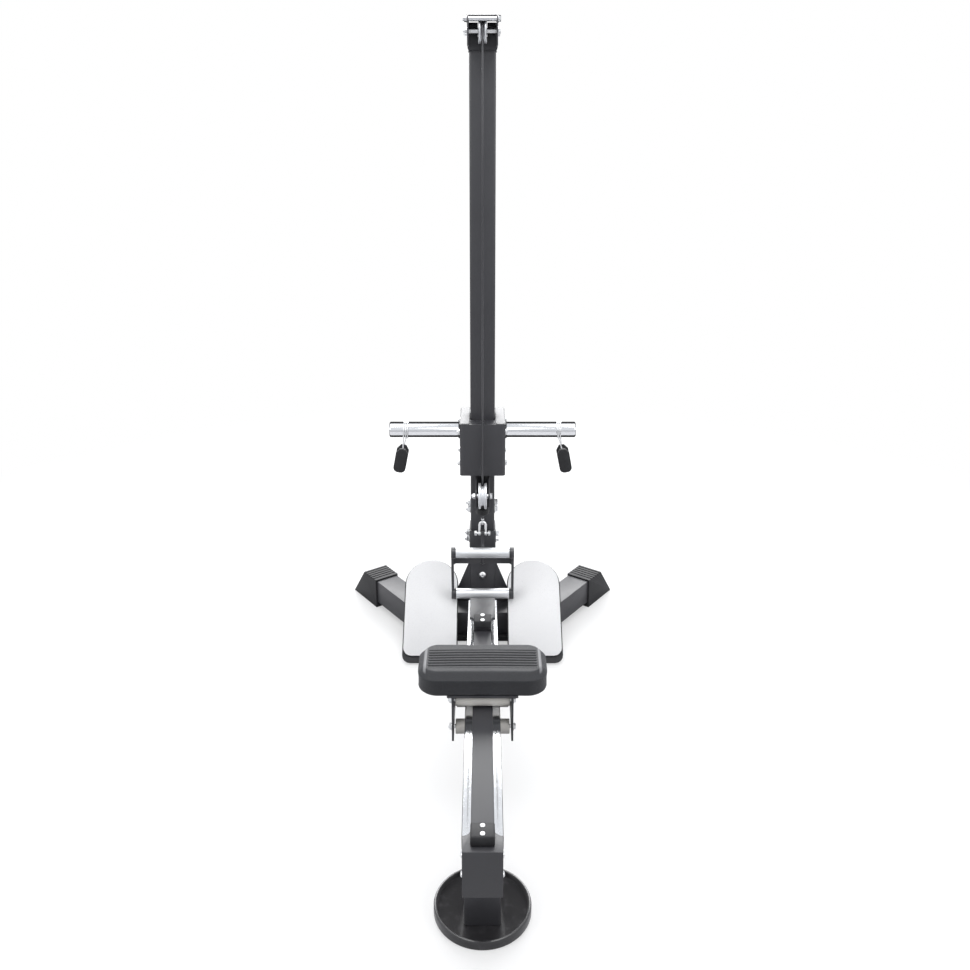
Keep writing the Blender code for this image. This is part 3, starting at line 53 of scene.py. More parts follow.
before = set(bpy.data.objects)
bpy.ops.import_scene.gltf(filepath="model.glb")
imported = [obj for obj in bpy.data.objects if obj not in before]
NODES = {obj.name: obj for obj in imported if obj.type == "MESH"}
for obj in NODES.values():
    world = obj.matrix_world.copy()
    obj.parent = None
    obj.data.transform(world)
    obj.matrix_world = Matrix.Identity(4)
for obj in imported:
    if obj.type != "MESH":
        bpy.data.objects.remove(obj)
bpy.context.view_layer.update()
TURN = 2 * math.pi
LOOKS = {}


# Shader maths


class Wire:
    """A shader socket that Python's arithmetic can be used on."""

    def __init__(self, look, socket):
        self.look = look
        self.socket = socket

    def maths(self, operation, first, second=None):
        values = {0: first} if second is None else {0: first, 1: second}
        return self.look.node("ShaderNodeMath", {"operation": operation}, values)

    def __add__(self, other):
        return self.maths("ADD", self, other)

    def __radd__(self, other):
        return self.maths("ADD", other, self)

    def __sub__(self, other):
        return self.maths("SUBTRACT", self, other)

    def __rsub__(self, other):
        return self.maths("SUBTRACT", other, self)

    def __mul__(self, other):
        return self.maths("MULTIPLY", self, other)

    def __rmul__(self, other):
        return self.maths("MULTIPLY", other, self)

    def larger(self, other):
        return self.maths("MAXIMUM", self, other)

    def band(self, low, high):
        """0 below low, 1 above high, and smooth between them."""
        settings = {"interpolation_type": "SMOOTHSTEP"}
        values = {"Value": self, "From Min": low, "From Max": high}
        return self.look.node("ShaderNodeMapRange", settings, values)


class Look:
    """One material and the nodes that make it."""

    def __init__(self, name, color, roughness, metallic=0.0):
        self.material = bpy.data.materials.new(name)
        self.material.use_nodes = True
        self.tree = self.material.node_tree
        self.shader = self.tree.nodes["Principled BSDF"]
        self.material.diffuse_color = (*color, 1)
        self.give("Base Color", (*color, 1))
        self.give("Roughness", roughness)
        self.give("Metallic", metallic)
        LOOKS[name] = self.material

    def join(self, value, socket):
        if isinstance(value, Wire):
            self.tree.links.new(value.socket, socket)
        else:
            socket.default_value = value

    def give(self, name, value):
        self.join(value, self.shader.inputs[name])

    def node(self, kind, settings=None, values=None, out=0):
        """Any node, from its type, its settings and the values of its sockets."""
        made = self.tree.nodes.new(kind)
        for name, value in (settings or {}).items():
            if name == "stops":
                ramp = made.color_ramp
                for element, (place, color) in zip(ramp.elements, value):
                    element.position, element.color = place, (*color, 1)
                continue
            setattr(made, name, value)
        for name, value in (values or {}).items():
            self.join(value, made.inputs[name])
        return Wire(self, made.outputs[out])

    def place(self, scale=(1, 1, 1), turn=(0, 0, 0)):
        """Object coordinates, stretched and turned."""
        here = self.node("ShaderNodeTexCoord", out="Object")
        return self.node("ShaderNodeMapping", None, {"Vector": here, "Scale": scale, "Rotation": turn})

    def noise(self, scale, detail=2.0, where=None, roughness=0.5):
        where = where or self.node("ShaderNodeTexCoord", out="Object")
        values = {"Vector": where, "Scale": scale, "Detail": detail, "Roughness": roughness}
        return self.node("ShaderNodeTexNoise", None, values)

    def cells(self, scale, feature="F1"):
        where = self.node("ShaderNodeTexCoord", out="Object")
        return self.node("ShaderNodeTexVoronoi", {"feature": feature}, {"Vector": where, "Scale": scale})

    def mix(self, share, first, second):
        values = {0: share, 6: (*first, 1) if isinstance(first, tuple) else first}
        values[7] = (*second, 1) if isinstance(second, tuple) else second
        return self.node("ShaderNodeMix", {"data_type": "RGBA"}, values, out=2)

    def wave(self, turns):
        """0 to 1 and back, once a turn."""
        return 0.5 + 0.5 * self.node("ShaderNodeMath", {"operation": "SINE"}, {0: turns * TURN})

    def bump(self, height, depth, strength=1.0, over=None):
        values = {"Height": height, "Distance": depth, "Strength": strength}
        if over:
            values["Normal"] = over
        return self.node("ShaderNodeBump", None, values)


def shade(color, factor):
    return tuple(min(1.0, channel * factor) for channel in color)


def make_coat(name, color, roughness, grain=1.0):
    """Powder coat: fine orange peel, a little cloudiness and faint rubbed patches."""
    look = Look(name, color, roughness, 0.0)
    cloud = look.noise(9.0, 3.0)
    rubbed = look.noise(38.0, 4.0).band(0.58, 0.72)
    look.give("Base Color", look.mix(cloud, shade(color, 0.84), shade(color, 1.16)))
    look.give("Roughness", roughness - 0.05 + 0.08 * cloud + 0.05 * rubbed)
    peel = look.noise(900.0, 2.0) + 0.5 * look.noise(2600.0, 1.0)
    look.give("Normal", look.bump(peel, 0.00012 * grain, 0.5))
    look.give("Specular IOR Level", 0.62)


def make_chrome(name, color, roughness, edge=None):
    """Polished plating: painted dark reflection past an edge if given, or else where it turns from view.
    """
    look = Look(name, color, roughness, 1.0)
    wipes = look.noise(14.0, 3.0, look.place((1, 6, 6)))
    specks = look.noise(160.0, 2.0).band(0.62, 0.75)
    look.give("Roughness", roughness + 0.05 * wipes + 0.06 * specks)
    # Painted dark reflection: past the edge, or where the surface turns from the view, the colour goes
    # near-black and stops being metal.
    if edge:
        where = look.node("ShaderNodeTexCoord", out="Object")
        split = look.node("ShaderNodeSeparateXYZ", None, {0: where})
        across = look.node("ShaderNodeMath", {"operation": "ABSOLUTE"}, {0: split})
        dark = across.band(edge, edge + 0.0005)
    else:
        dark = look.node("ShaderNodeLayerWeight", None, {"Blend": 0.5}, "Facing").band(0.30, 0.44)
    bright = look.mix(wipes, shade(color, 0.95), shade(color, 1.04))
    # The painted dark reflection is mixed into the colour here.
    look.give("Base Color", look.mix(dark, bright, shade(color, 0.03)))
    look.give("Metallic", 1 - dark)
    look.give("Specular IOR Level", 0.0)


def make_plated(name, color, roughness):
    """Zinc or turned steel: crystal mottling and fine tool marks."""
    look = Look(name, color, roughness, 1.0)
    mottle = look.cells(420.0)
    cloud = look.noise(60.0, 3.0)
    look.give("Base Color", look.mix(mottle, shade(color, 0.86), shade(color, 1.08)))
    look.give("Roughness", roughness - 0.06 + 0.16 * cloud)
    look.give("Normal", look.bump(look.noise(1500.0, 1.0), 0.00004, 0.4))


def make_satin(name, color, roughness):
    """Anodised aluminium, drawn along X, with hair lines round it."""
    look = Look(name, color, roughness, 0.85)
    hair = look.noise(1.0, 2.0, look.place((2600, 90, 90)))
    cloud = look.noise(45.0, 3.0)
    look.give("Base Color", look.mix(hair, shade(color, 0.90), shade(color, 1.06)))
    look.give("Roughness", roughness - 0.05 + 0.10 * cloud + 0.05 * hair)
    look.give("Normal", look.bump(hair, 0.00003, 0.5))


def make_rubber(name, color, roughness):
    """Moulded rubber: pebbled grain, dusty in its high spots."""
    look = Look(name, color, roughness)
    pebble = look.cells(700.0)
    dust = look.noise(26.0, 4.0).band(0.45, 0.75)
    look.give("Base Color", look.mix(dust, shade(color, 0.85), shade(color, 1.5)))
    look.give("Roughness", roughness - 0.05 + 0.10 * dust)
    look.give("Normal", look.bump(pebble, 0.0002, 0.6))
    look.give("Specular IOR Level", 0.4)


def make_vinyl(name, color, roughness):
    """Upholstery skin: leather grain, painted shade in channels, painted sheen on the top's side edges.
    """
    look = Look(name, color, roughness)
    grain = look.cells(620.0, feature="DISTANCE_TO_EDGE").band(0.0, 0.22)
    pores = look.noise(1900.0, 2.0)
    cloud = look.noise(20.0, 3.0)
    split = look.node("ShaderNodeSeparateXYZ", None, {0: look.node("ShaderNodeTexCoord", out="Object")})
    across = look.node("ShaderNodeMath", {"operation": "ABSOLUTE"}, {0: split})
    along = Wire(look, split.socket.node.outputs[1]) - (SEAT_Y + PANEL_MID)
    reach = look.node("ShaderNodeMath", {"operation": "ABSOLUTE"}, {0: along})
    level = Wire(look, split.socket.node.outputs[2])
    turns = (along + PANEL_Y) * (math.pi * CHANNELS / (2 * PANEL_Y))
    wave = look.node("ShaderNodeMath", {"operation": "SINE"}, {0: turns})
    wave = look.node("ShaderNodeMath", {"operation": "ABSOLUTE"}, {0: wave})
    panel = across.band(PANEL_X, PANEL_X - 0.002) * reach.band(PANEL_Y + 0.002, PANEL_Y)
    # Painted shade: the colour is darkened in the channels between the ribs.
    low = wave.band(0.75, 0.15) * panel
    # Painted sheen: the colour is lightened along the top's side edges, outside the ribbed panel.
    painted_sheen = across.band(PANEL_X + 0.002, PANEL_X + 0.0045) * across.band(0.1480, 0.1455)
    painted_sheen = painted_sheen * level.band(0.372, 0.378)
    skin = look.mix(grain, shade(color, 0.72), shade(color, 1.12))
    # The painted shade in the channels is mixed into the colour here.
    skin = look.mix(0.9 * low, skin, shade(color, 0.12))
    # The painted sheen on the side edges is mixed into the colour here.
    look.give("Base Color", look.mix(0.75 * painted_sheen, skin, (0.30, 0.30, 0.31)))
    look.give("Roughness", roughness - 0.06 + 0.12 * cloud + 0.05 * (1 - grain) + 0.35 * low)
    look.give("Specular IOR Level", 0.32)
    skin = look.bump(grain, 0.00022, 0.6)
    look.give("Normal", look.bump(pores, 0.00006, 0.5, skin))


def make_grip_pad(name, color, roughness):
    """Foot pad sheet: pale, with fine specks of two greys and a sandy grain."""
    look = Look(name, color, roughness)
    specks = look.cells(520.0).band(0.30, 0.12)
    sparse = look.noise(210.0, 1.0).band(0.50, 0.62)
    fine = look.noise(1400.0, 2.0).band(0.56, 0.66)
    share = (specks * sparse * 0.55).larger(fine * 0.22)
    cloud = look.noise(12.0, 2.0)
    ground = look.mix(cloud, shade(color, 0.97), shade(color, 1.02))
    look.give("Base Color", look.mix(share, ground, shade(color, 0.42)))
    look.give("Roughness", roughness + 0.08 * cloud)
    look.give("Normal", look.bump(look.noise(1300.0, 2.0), 0.00025, 0.7))


def make_nylon(name, color, roughness):
    """Turned nylon: cloudy, with rings round the roller's axis."""
    look = Look(name, color, roughness)
    cloud = look.noise(30.0, 3.0)
    rings = look.noise(1.0, 2.0, look.place((1500, 20, 20)))
    look.give("Base Color", look.mix(cloud, shade(color, 0.90), shade(color, 1.08)))
    look.give("Roughness", roughness - 0.04 + 0.10 * rings)
    look.give("Normal", look.bump(rings, 0.00005, 0.5))
    look.give("Subsurface Weight", 0.05)
    look.give("Subsurface Radius", (0.004, 0.004, 0.003))


def make_gloss(name, color, roughness):
    """Gloss enamel with a clear coat, a little ripple and dust."""
    look = Look(name, color, roughness)
    dust = look.noise(55.0, 4.0).band(0.50, 0.80)
    look.give("Base Color", look.mix(dust, shade(color, 0.9), shade(color, 1.7)))
    look.give("Roughness", roughness + 0.10 * dust)
    look.give("Normal", look.bump(look.noise(70.0, 2.0), 0.0003, 0.15))
    look.give("Coat Weight", 0.6)
    look.give("Coat Roughness", 0.08)


def make_cable_skin(name, color, roughness):
    """Clear-sleeved steel rope: strands wound round the cable, seen through the sleeve."""
    look = Look(name, color, roughness, 0.25)
    where = look.node("ShaderNodeSeparateXYZ", None, {0: look.node("ShaderNodeTexCoord", out="UV")})
    round_it = Wire(look, where.socket.node.outputs[0])
    along = Wire(look, where.socket.node.outputs[1])
    strands = look.wave(round_it * 6 + along * 260)
    look.give("Base Color", look.mix(strands, shade(color, 0.6), shade(color, 1.5)))
    look.give("Normal", look.bump(strands, 0.0002, 0.5))
    look.give("Coat Weight", 0.5)
    look.give("Coat Roughness", 0.15)


# Mesh building


def link_mesh(name, mesh):
    """An object at the origin for a mesh, named without spaces."""
    obj = bpy.data.objects.new(name.replace(" ", "_"), mesh)
    bpy.context.scene.collection.objects.link(obj)
    return obj


def new_object(name, shape, looks, smooth=35):
    """A mesh object at the origin from a bmesh, with one material a look."""
    bmesh.ops.recalc_face_normals(shape, faces=shape.faces)
    mesh = bpy.data.meshes.new(name)
    shape.to_mesh(mesh)
    shape.free()
    obj = link_mesh(name, mesh)
    for look in looks:
        mesh.materials.append(LOOKS[look])
    mesh.shade_smooth()
    mesh.set_sharp_from_angle(angle=math.radians(smooth))
    return obj


def settle(obj, smooth=35):
    """Turns an object's modifiers into its plain mesh."""
    graph = bpy.context.evaluated_depsgraph_get()
    mesh = bpy.data.meshes.new_from_object(obj.evaluated_get(graph), depsgraph=graph)
    obj.modifiers.clear()
    obj.data = mesh
    if smooth:
        mesh.shade_smooth()
        mesh.set_sharp_from_angle(angle=math.radians(smooth))
    return obj


def dress(obj, body, nodes=()):
    """Hands a finished piece to its body, for the nodes that it stands for."""
    if nodes:
        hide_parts(*nodes)
    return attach(obj, body)


def lathe(shape, profile, centre, axis="X", steps=48, look=0, spin=0.0):
    """Adds a turned form; profile gives (radius, distance along the axis), and 0 closes a pole."""
    spots = []
    for radius, along in profile:
        if radius < 1e-7:
            spots.append([shape.verts.new(on_axis(centre, axis, 0, 0, along))])
            continue
        ring = []
        for i in range(steps):
            angle = spin + TURN * i / steps
            ring.append(
                shape.verts.new(
                    on_axis(centre, axis, radius * math.cos(angle), radius * math.sin(angle), along)
                )
            )
        spots.append(ring)
    pairs = list(zip(spots, spots[1:]))
    if len(spots[0]) > 1 and len(spots[-1]) > 1:
        pairs.append((spots[-1], spots[0]))
    for low, high in pairs:
        if len(low) == len(high) == 1:
            continue
        for i in range(steps):
            j = (i + 1) % steps
            if len(low) == 1:
                corners = (low[0], high[j], high[i])
            elif len(high) == 1:
                corners = (low[i], low[j], high[0])
            else:
                corners = (low[i], low[j], high[j], high[i])
            face = shape.faces.new(corners)
            face.material_index = look


def both_halves(half):
    """A profile and its mirror image across the middle of its axis."""
    return half + [(radius, -along) for radius, along in reversed(half)]


def on_axis(centre, axis, across, up, along):
    """A point from its place across, up and along an axis through a centre."""
    x, y, z = centre
    if axis == "X":
        return (x + along, y + across, z + up)
    if axis == "Y":
        return (x + up, y + along, z + across)
    return (x + across, y + up, z + along)


def tube_rings(shape, points, radius, sides, side):
    """Rings of vertices round points, turned as little as can be from one to the next."""
    rings = []
    for i, point in enumerate(points):
        heading = (points[min(i + 1, len(points) - 1)] - points[max(i - 1, 0)]).normalized()
        if side is None:
            side = heading.orthogonal().normalized()
        side = (side - heading * side.dot(heading)).normalized()
        other = heading.cross(side)
        ring = []
        for k in range(sides):
            angle = TURN * k / sides
            out = side * math.cos(angle) + other * math.sin(angle)
            ring.append(shape.verts.new(point + out * radius))
        rings.append(ring)
    return rings


def sweep(shape, points, radius, sides):
    """Adds a tube along points, with flat caps."""
    rings = tube_rings(shape, [Vector(point) for point in points], radius, sides, None)
    for low, high in zip(rings, rings[1:]):
        for k in range(sides):
            j = (k + 1) % sides
            shape.faces.new((low[k], low[j], high[j], high[k]))
    for ring in (list(reversed(rings[0])), rings[-1]):
        shape.faces.new(ring)


def arc(centre, radius, start, end, steps):
    """Points of an arc in the plane, both ends included."""
    found = []
    for i in range(steps + 1):
        angle = start + (end - start) * i / steps
        found.append((centre[0] + radius * math.cos(angle), centre[1] + radius * math.sin(angle)))
    return found


def rounded_box(width, height, radius, steps=6):
    """Outline of a rectangle about the origin with round corners."""
    x, y = width / 2 - radius, height / 2 - radius
    corners = ((x, y, 0), (-x, y, 1), (-x, -y, 2), (x, -y, 3))
    found = []
    for cx, cy, quarter in corners:
        start = quarter * math.pi / 2
        found += arc((cx, cy), radius, start, start + math.pi / 2, steps)
    return found


def slab(shape, outline, low, high, place, edge, steps=2):
    """Adds a flat plate with softened rims; place turns the outline's plane into the frame."""
    levels = [(low, edge)]
    for i in range(1, steps + 1):
        angle = i / steps * math.pi / 2
        levels.append((low + edge * (1 - math.cos(angle)), edge * (1 - math.sin(angle))))
    for i in range(steps, -1, -1):
        angle = i / steps * math.pi / 2
        levels.append((high - edge * (1 - math.cos(angle)), edge * (1 - math.sin(angle))))
    rings = []
    for level, inset in levels:
        ring = [shape.verts.new(place @ Vector((x, y, level))) for x, y in inset_outline(outline, inset)]
        rings.append(ring)
    count = len(outline)
    for lower, upper in zip(rings, rings[1:]):
        for i in range(count):
            j = (i + 1) % count
            shape.faces.new((lower[i], lower[j], upper[j], upper[i]))
    shape.faces.new(list(reversed(rings[0])))
    shape.faces.new(rings[-1])


def inset_outline(outline, inset):
    """An outline whose points are drawn in along their corners' middles."""
    if not inset:
        return outline
    count = len(outline)
    found = []
    for i, (x, y) in enumerate(outline):
        before = Vector((x, y)) - Vector(outline[i - 1])
        after = Vector(outline[(i + 1) % count]) - Vector((x, y))
        before.normalize()
        after.normalize()
        left = Vector((-before.y - after.y, before.x + after.x))
        if left.length < 1e-6:
            left = Vector((-before.y, before.x))
        left.normalize()
        reach = inset / max(0.4, left.dot(Vector((-before.y, before.x))))
        found.append((x + left.x * reach, y + left.y * reach))
    return found


def softened(name, node, width, looks, body, steps=3, angle=32):
    """A copy of a CAD node with its sharp edges rounded, which stands for it."""
    shape = bmesh.new()
    shape.from_mesh(NODES[node].data)
    bmesh.ops.remove_doubles(shape, verts=shape.verts, dist=2e-6)
    bmesh.ops.dissolve_limit(
        shape, angle_limit=math.radians(0.6), verts=shape.verts, edges=shape.edges
    )
    obj = new_object(name, shape, looks)
    edge = obj.modifiers.new("edge", "BEVEL")
    edge.width = width
    edge.segments = steps
    edge.angle_limit = math.radians(angle)
    settle(obj)
    return dress(obj, body, [node])


# Repeats and paths, by Geometry Nodes


class Grower:
    """A Geometry Nodes tree and the short ways to fill it."""

    def __init__(self, name, inputs):
        self.tree = bpy.data.node_groups.new(name, "GeometryNodeTree")
        self.tree.interface.new_socket("Geometry", in_out="INPUT", socket_type="NodeSocketGeometry")
        for label, kind in inputs:
            self.tree.interface.new_socket(label, in_out="INPUT", socket_type=f"NodeSocket{kind}")
        self.tree.interface.new_socket("Geometry", in_out="OUTPUT", socket_type="NodeSocketGeometry")
        self.given = self.tree.nodes.new("NodeGroupInput")

    def node(self, kind, settings=None, values=None, out=0):
        made = self.tree.nodes.new(kind)
        for name, value in (settings or {}).items():
            setattr(made, name, value)
        for name, value in (values or {}).items():
            socket = made.inputs[name]
            if isinstance(value, bpy.types.NodeSocket):
                self.tree.links.new(value, socket)
            else:
                socket.default_value = value
        return made.outputs[out]

    def input(self, name):
        return self.given.outputs[name]

    def end(self, geometry):
        whole = self.node("GeometryNodeRealizeInstances", None, {"Geometry": geometry})
        values = {"Geometry": whole, "Material": self.input("Finish")}
        faced = self.node("GeometryNodeSetMaterial", None, values)
        self.tree.links.new(faced, self.tree.nodes.new("NodeGroupOutput").inputs["Geometry"])
        return self.tree


def copies_tree():
    """Copies of a master on points, turned to each point's aim and given a random spin about it."""
    grower = Grower("Copies on points", (("Master", "Object"), ("Finish", "Material"), ("Seed", "Int")))
    master = grower.node("GeometryNodeObjectInfo", None, {"Object": grower.input("Master")}, "Geometry")
    aim = grower.node("GeometryNodeInputNamedAttribute", {"data_type": "FLOAT_VECTOR"}, {"Name": "aim"})
    facing = grower.node("FunctionNodeAlignRotationToVector", {"axis": "Z"}, {"Vector": aim})
    values = {2: 0.0, 3: TURN, "Seed": grower.input("Seed")}
    spin = grower.node("FunctionNodeRandomValue", {"data_type": "FLOAT"}, values, 1)
    turn = grower.node("FunctionNodeAxisAngleToRotation", None, {"Axis": (0, 0, 1), "Angle": spin})
    values = {"Rotation": facing, "Rotate By": turn}
    facing = grower.node("FunctionNodeRotateRotation", {"rotation_space": "LOCAL"}, values)
    size = grower.node("GeometryNodeInputNamedAttribute", {"data_type": "FLOAT"}, {"Name": "size"})
    values = {"Points": grower.input("Geometry"), "Instance": master, "Rotation": facing, "Scale": size}
    return grower.end(grower.node("GeometryNodeInstanceOnPoints", None, values))


def wire_tree():
    """A round wire along each chain of edges, whose skin a noise can ripple."""
    inputs = (
        ("Radius", "Float"),
        ("Step", "Float"),
        ("Sides", "Int"),
        ("Ripple", "Float"),
        ("Ripple Scale", "Float"),
        ("Finish", "Material"),
    )
    grower = Grower("Wire along edges", inputs)
    chain = grower.node("GeometryNodeMeshToCurve", None, {"Mesh": grower.input("Geometry")})
    values = {"Curve": chain, "Length": grower.input("Step")}
    even = grower.node("GeometryNodeResampleCurve", {"mode": "LENGTH"}, values)
    values = {"Resolution": grower.input("Sides"), "Radius": grower.input("Radius")}
    ring = grower.node("GeometryNodeCurvePrimitiveCircle", None, values)
    values = {"Curve": even, "Profile Curve": ring, "Fill Caps": True}
    skin = grower.node("GeometryNodeCurveToMesh", None, values)
    values = {"Scale": grower.input("Ripple Scale"), "Detail": 1.0}
    wave = grower.node("ShaderNodeTexNoise", None, values)
    lift = grower.node("ShaderNodeMath", {"operation": "SUBTRACT"}, {0: wave, 1: 0.5})
    lift = grower.node("ShaderNodeMath", {"operation": "MULTIPLY"}, {0: lift, 1: grower.input("Ripple")})
    normal = grower.node("GeometryNodeInputNormal")
    push = grower.node("ShaderNodeVectorMath", {"operation": "SCALE"}, {0: normal, "Scale": lift})
    return grower.end(grower.node("GeometryNodeSetPosition", None, {"Geometry": skin, "Offset": push}))


def grow(obj, tree, values, smooth=35):
    """Runs a tree on an object with these inputs and keeps its plain mesh."""
    modifier = obj.modifiers.new("grow", "NODES")
    modifier.node_group = tree
    for item in tree.interface.items_tree:
        if item.item_type == "SOCKET" and item.in_out == "INPUT" and item.name in values:
            modifier[item.identifier] = values[item.name]
    obj.update_tag()
    bpy.context.view_layer.update()
    return settle(obj, smooth)


def points_object(name, spots):
    """Points with an aim and a size: spots gives (place, aim, size)."""
    mesh = bpy.data.meshes.new(name)
    mesh.from_pydata([tuple(spot[0]) for spot in spots], [], [])
    mesh.attributes.new("aim", "FLOAT_VECTOR", "POINT")
    mesh.attributes.new("size", "FLOAT", "POINT")
    aims = [value for _place, aim, _size in spots for value in aim]
    mesh.attributes["aim"].data.foreach_set("vector", aims)
    mesh.attributes["size"].data.foreach_set("value", [size for _place, _aim, size in spots])
    return link_mesh(name, mesh)


def chains_object(name, chains):
    """Chains of edges, as one mesh."""
    places, edges = [], []
    for chain in chains:
        start = len(places)
        places += [tuple(point) for point in chain]
        edges += [(start + i, start + i + 1) for i in range(len(chain) - 1)]
    mesh = bpy.data.meshes.new(name)
    mesh.from_pydata(places, edges, [])
    return link_mesh(name, mesh)


def hexagon(shape, radius, low, high, chamfer=0.0008, look=0, centre=(0, 0, 0), axis="Z", spin=0.0):
    """Adds a bolt head or a nut."""
    profile = [(0, low), (radius, low), (radius, high - chamfer)]
    profile += [(radius - 1.6 * chamfer, high), (0, high)]
    lathe(shape, profile, centre, axis, 6, look, spin)


def disc(shape, radius, low, high, chamfer=0.0004, look=0, centre=(0, 0, 0), axis="Z", steps=40):
    profile = [
        (0, low),
        (radius - chamfer, low),
        (radius, low + chamfer),
        (radius, high - chamfer),
        (radius - chamfer, high),
        (0, high),
    ]
    lathe(shape, profile, centre, axis, steps, look)


def make_master(kind):
    """A fastener that points along +Z from the face that it sits on."""
    shape = bmesh.new()
    if kind == "hex":
        disc(shape, 0.0112, 0.0, 0.0018)
        hexagon(shape, 0.0092, 0.0019, 0.0082)
        disc(shape, 0.0052, 0.0083, 0.0085, 0.0001)
    elif kind == "nut":
        disc(shape, 0.0108, 0.0, 0.0018)
        hexagon(shape, 0.0090, 0.0019, 0.0078)
        collar = [(0, 0.0079), (0.0066, 0.0079), (0.0064, 0.0092), (0.0052, 0.0098)]
        lathe(shape, collar + [(0.0050, 0.0122), (0, 0.0122)], (0, 0, 0), "Z", 32)
    elif kind == "dome":
        rise = [(0, 0.0), (0.0088, 0.0), (0.0090, 0.0006), (0.0082, 0.0024), (0.0062, 0.0040)]
        lathe(shape, rise + [(0.0032, 0.0049), (0.0030, 0.0030), (0, 0.0026)], (0, 0, 0), "Z", 36)
    else:
        rise = [(0, 0.0), (0.0064, 0.0), (0.0066, 0.0005), (0.0050, 0.0022), (0.0028, 0.0027)]
        lathe(shape, rise + [(0.0016, 0.0028), (0.0014, 0.0014), (0, 0.0012)], (0, 0, 0), "Z", 30)
    return new_object(f"master {kind}", shape, ["zinc"])


def bolt_up(name, body, kind, spots, seed):
    """Fasteners of one kind on one body."""
    master = make_master(kind)
    obj = points_object(name, spots)
    grow(obj, TREES["copies"], {"Master": master, "Finish": LOOKS["zinc"], "Seed": seed})
    bpy.data.objects.remove(master, do_unlink=True)
    return dress(obj, body, ())


def weld(name, body, chains, radius=0.0024):
    """Painted weld beads along chains of points."""
    obj = chains_object(name, chains)
    values = {"Radius": radius, "Step": 0.0014, "Sides": 8, "Ripple": 0.0016, "Ripple Scale": 420.0}
    grow(obj, TREES["wire"], {**values, "Finish": LOOKS["coat"]}, 60)
    return dress(obj, body, ())


def wire(name, body, chain, radius, look, nodes=(), step=0.0012, sides=16):
    values = {"Radius": radius, "Step": step, "Sides": sides, "Ripple": 0.0, "Ripple Scale": 1.0}
    obj = grow(chains_object(name, [chain]), TREES["wire"], {**values, "Finish": LOOKS[look]}, 60)
    return dress(obj, body, nodes)


TREES = {}


# Places and sizes that the pieces share; a wheel is (rim, groove, half width),
# a guide roller (radius, half width, wall) and the cushion (half x, half y, corner, roll, fall)

TOWER_Y = 0.55646
TOWER_HALF = 0.039
SOCKET_HALF = 0.0433
CROSS_Y = 0.47746
CABLE_Y = 0.45246
REAR_CABLE_Y = 0.62546
LOW_Y = 0.41846
LOW_Z = 0.521
PIN_Z = 0.37775
EYE_Z = 0.417
TROLLEY_X = 0.07225
TROLLEY_LOW = 0.5695
TROLLEY_TOP = 0.741
BAR_Z = 0.69504
SEAT_Y = -0.281
SEAT_TOP = 0.3822
PANEL_X = 0.1365
PANEL_Y = 0.040
PANEL_MID = -0.006
CHANNELS = 7
FOOT_PLACE = (0.168, 0.42146, 0.1305)
CABLE_RADIUS = 0.0029
TOP_WHEEL = (0.0355, 0.0295, 0.0118)
LOW_WHEEL = (0.041, 0.034, 0.0132)
GUIDE_INSET = 0.034
GUIDE_OUT = 0.0593
GUIDE_ROLLER = (0.020, 0.030, TROLLEY_X)
SEAT_ROLLER_Y = 0.055
SEAT_ROLLERS = (("upper", 0.3005, 0.0155), ("lower", 0.2237, 0.018))
LID_HALF_DEPTH = 0.089
BAR_TIP = 0.300
COLLAR_X = 0.246
COLLAR_LEG = 0.059
COLLAR_SPLAY = 0.19199
COLLAR_SPREAD = 0.12217
COLLAR_WIRE = 0.0019
GRIPS = (("upper", 0.41446, 0.32675), ("lower", 0.43446, 0.17175))
GRIP_HALF = 0.086
DISC_FLOOR = 0.009
CUSHION = (0.1602, 0.0762, 0.047, 0.0155, 0.0168)


def middle(node):
    """The centre of a CAD node's box."""
    low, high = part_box(node)
    return tuple((a + b) / 2 for a, b in zip(low, high))


def softened_all(names, width, look, body):
    for node, label in names:
        softened(label, node, width, [look], body)


def square_round(y_low, y_high, x, z):
    """A closed run round a square tube."""
    r = 0.004
    return [
        (-x + r, y_low, z),
        (x - r, y_low, z),
        (x, y_low + r, z),
        (x, y_high - r, z),
        (x - r, y_high, z),
        (-x + r, y_high, z),
        (-x, y_high - r, z),
        (-x, y_low + r, z),
        (-x + r, y_low, z),
    ]


def build_base(width):
    softened("Base tube", "base_frame", 0.0012, ["coat"], "frame")
    softened("Floor pad", "floor_pad", 0.0015, ["rubber"], "frame")
    for side in ("left", "right"):
        softened(f"Boot {side}", f"boot_{side}", width, ["rubber"], "frame")
    low, high = CROSS_Y + 0.040, CROSS_Y - 0.040
    chains = []
    for sign in (-1, 1):
        x = sign * 0.193
        chains.append([(x, high + 0.004, 0.1006), (x, low - 0.004, 0.1006)])
        chains.append([(x, high - 0.0006, 0.094), (x, high - 0.0006, 0.026)])
    weld("Base welds", "frame", chains)


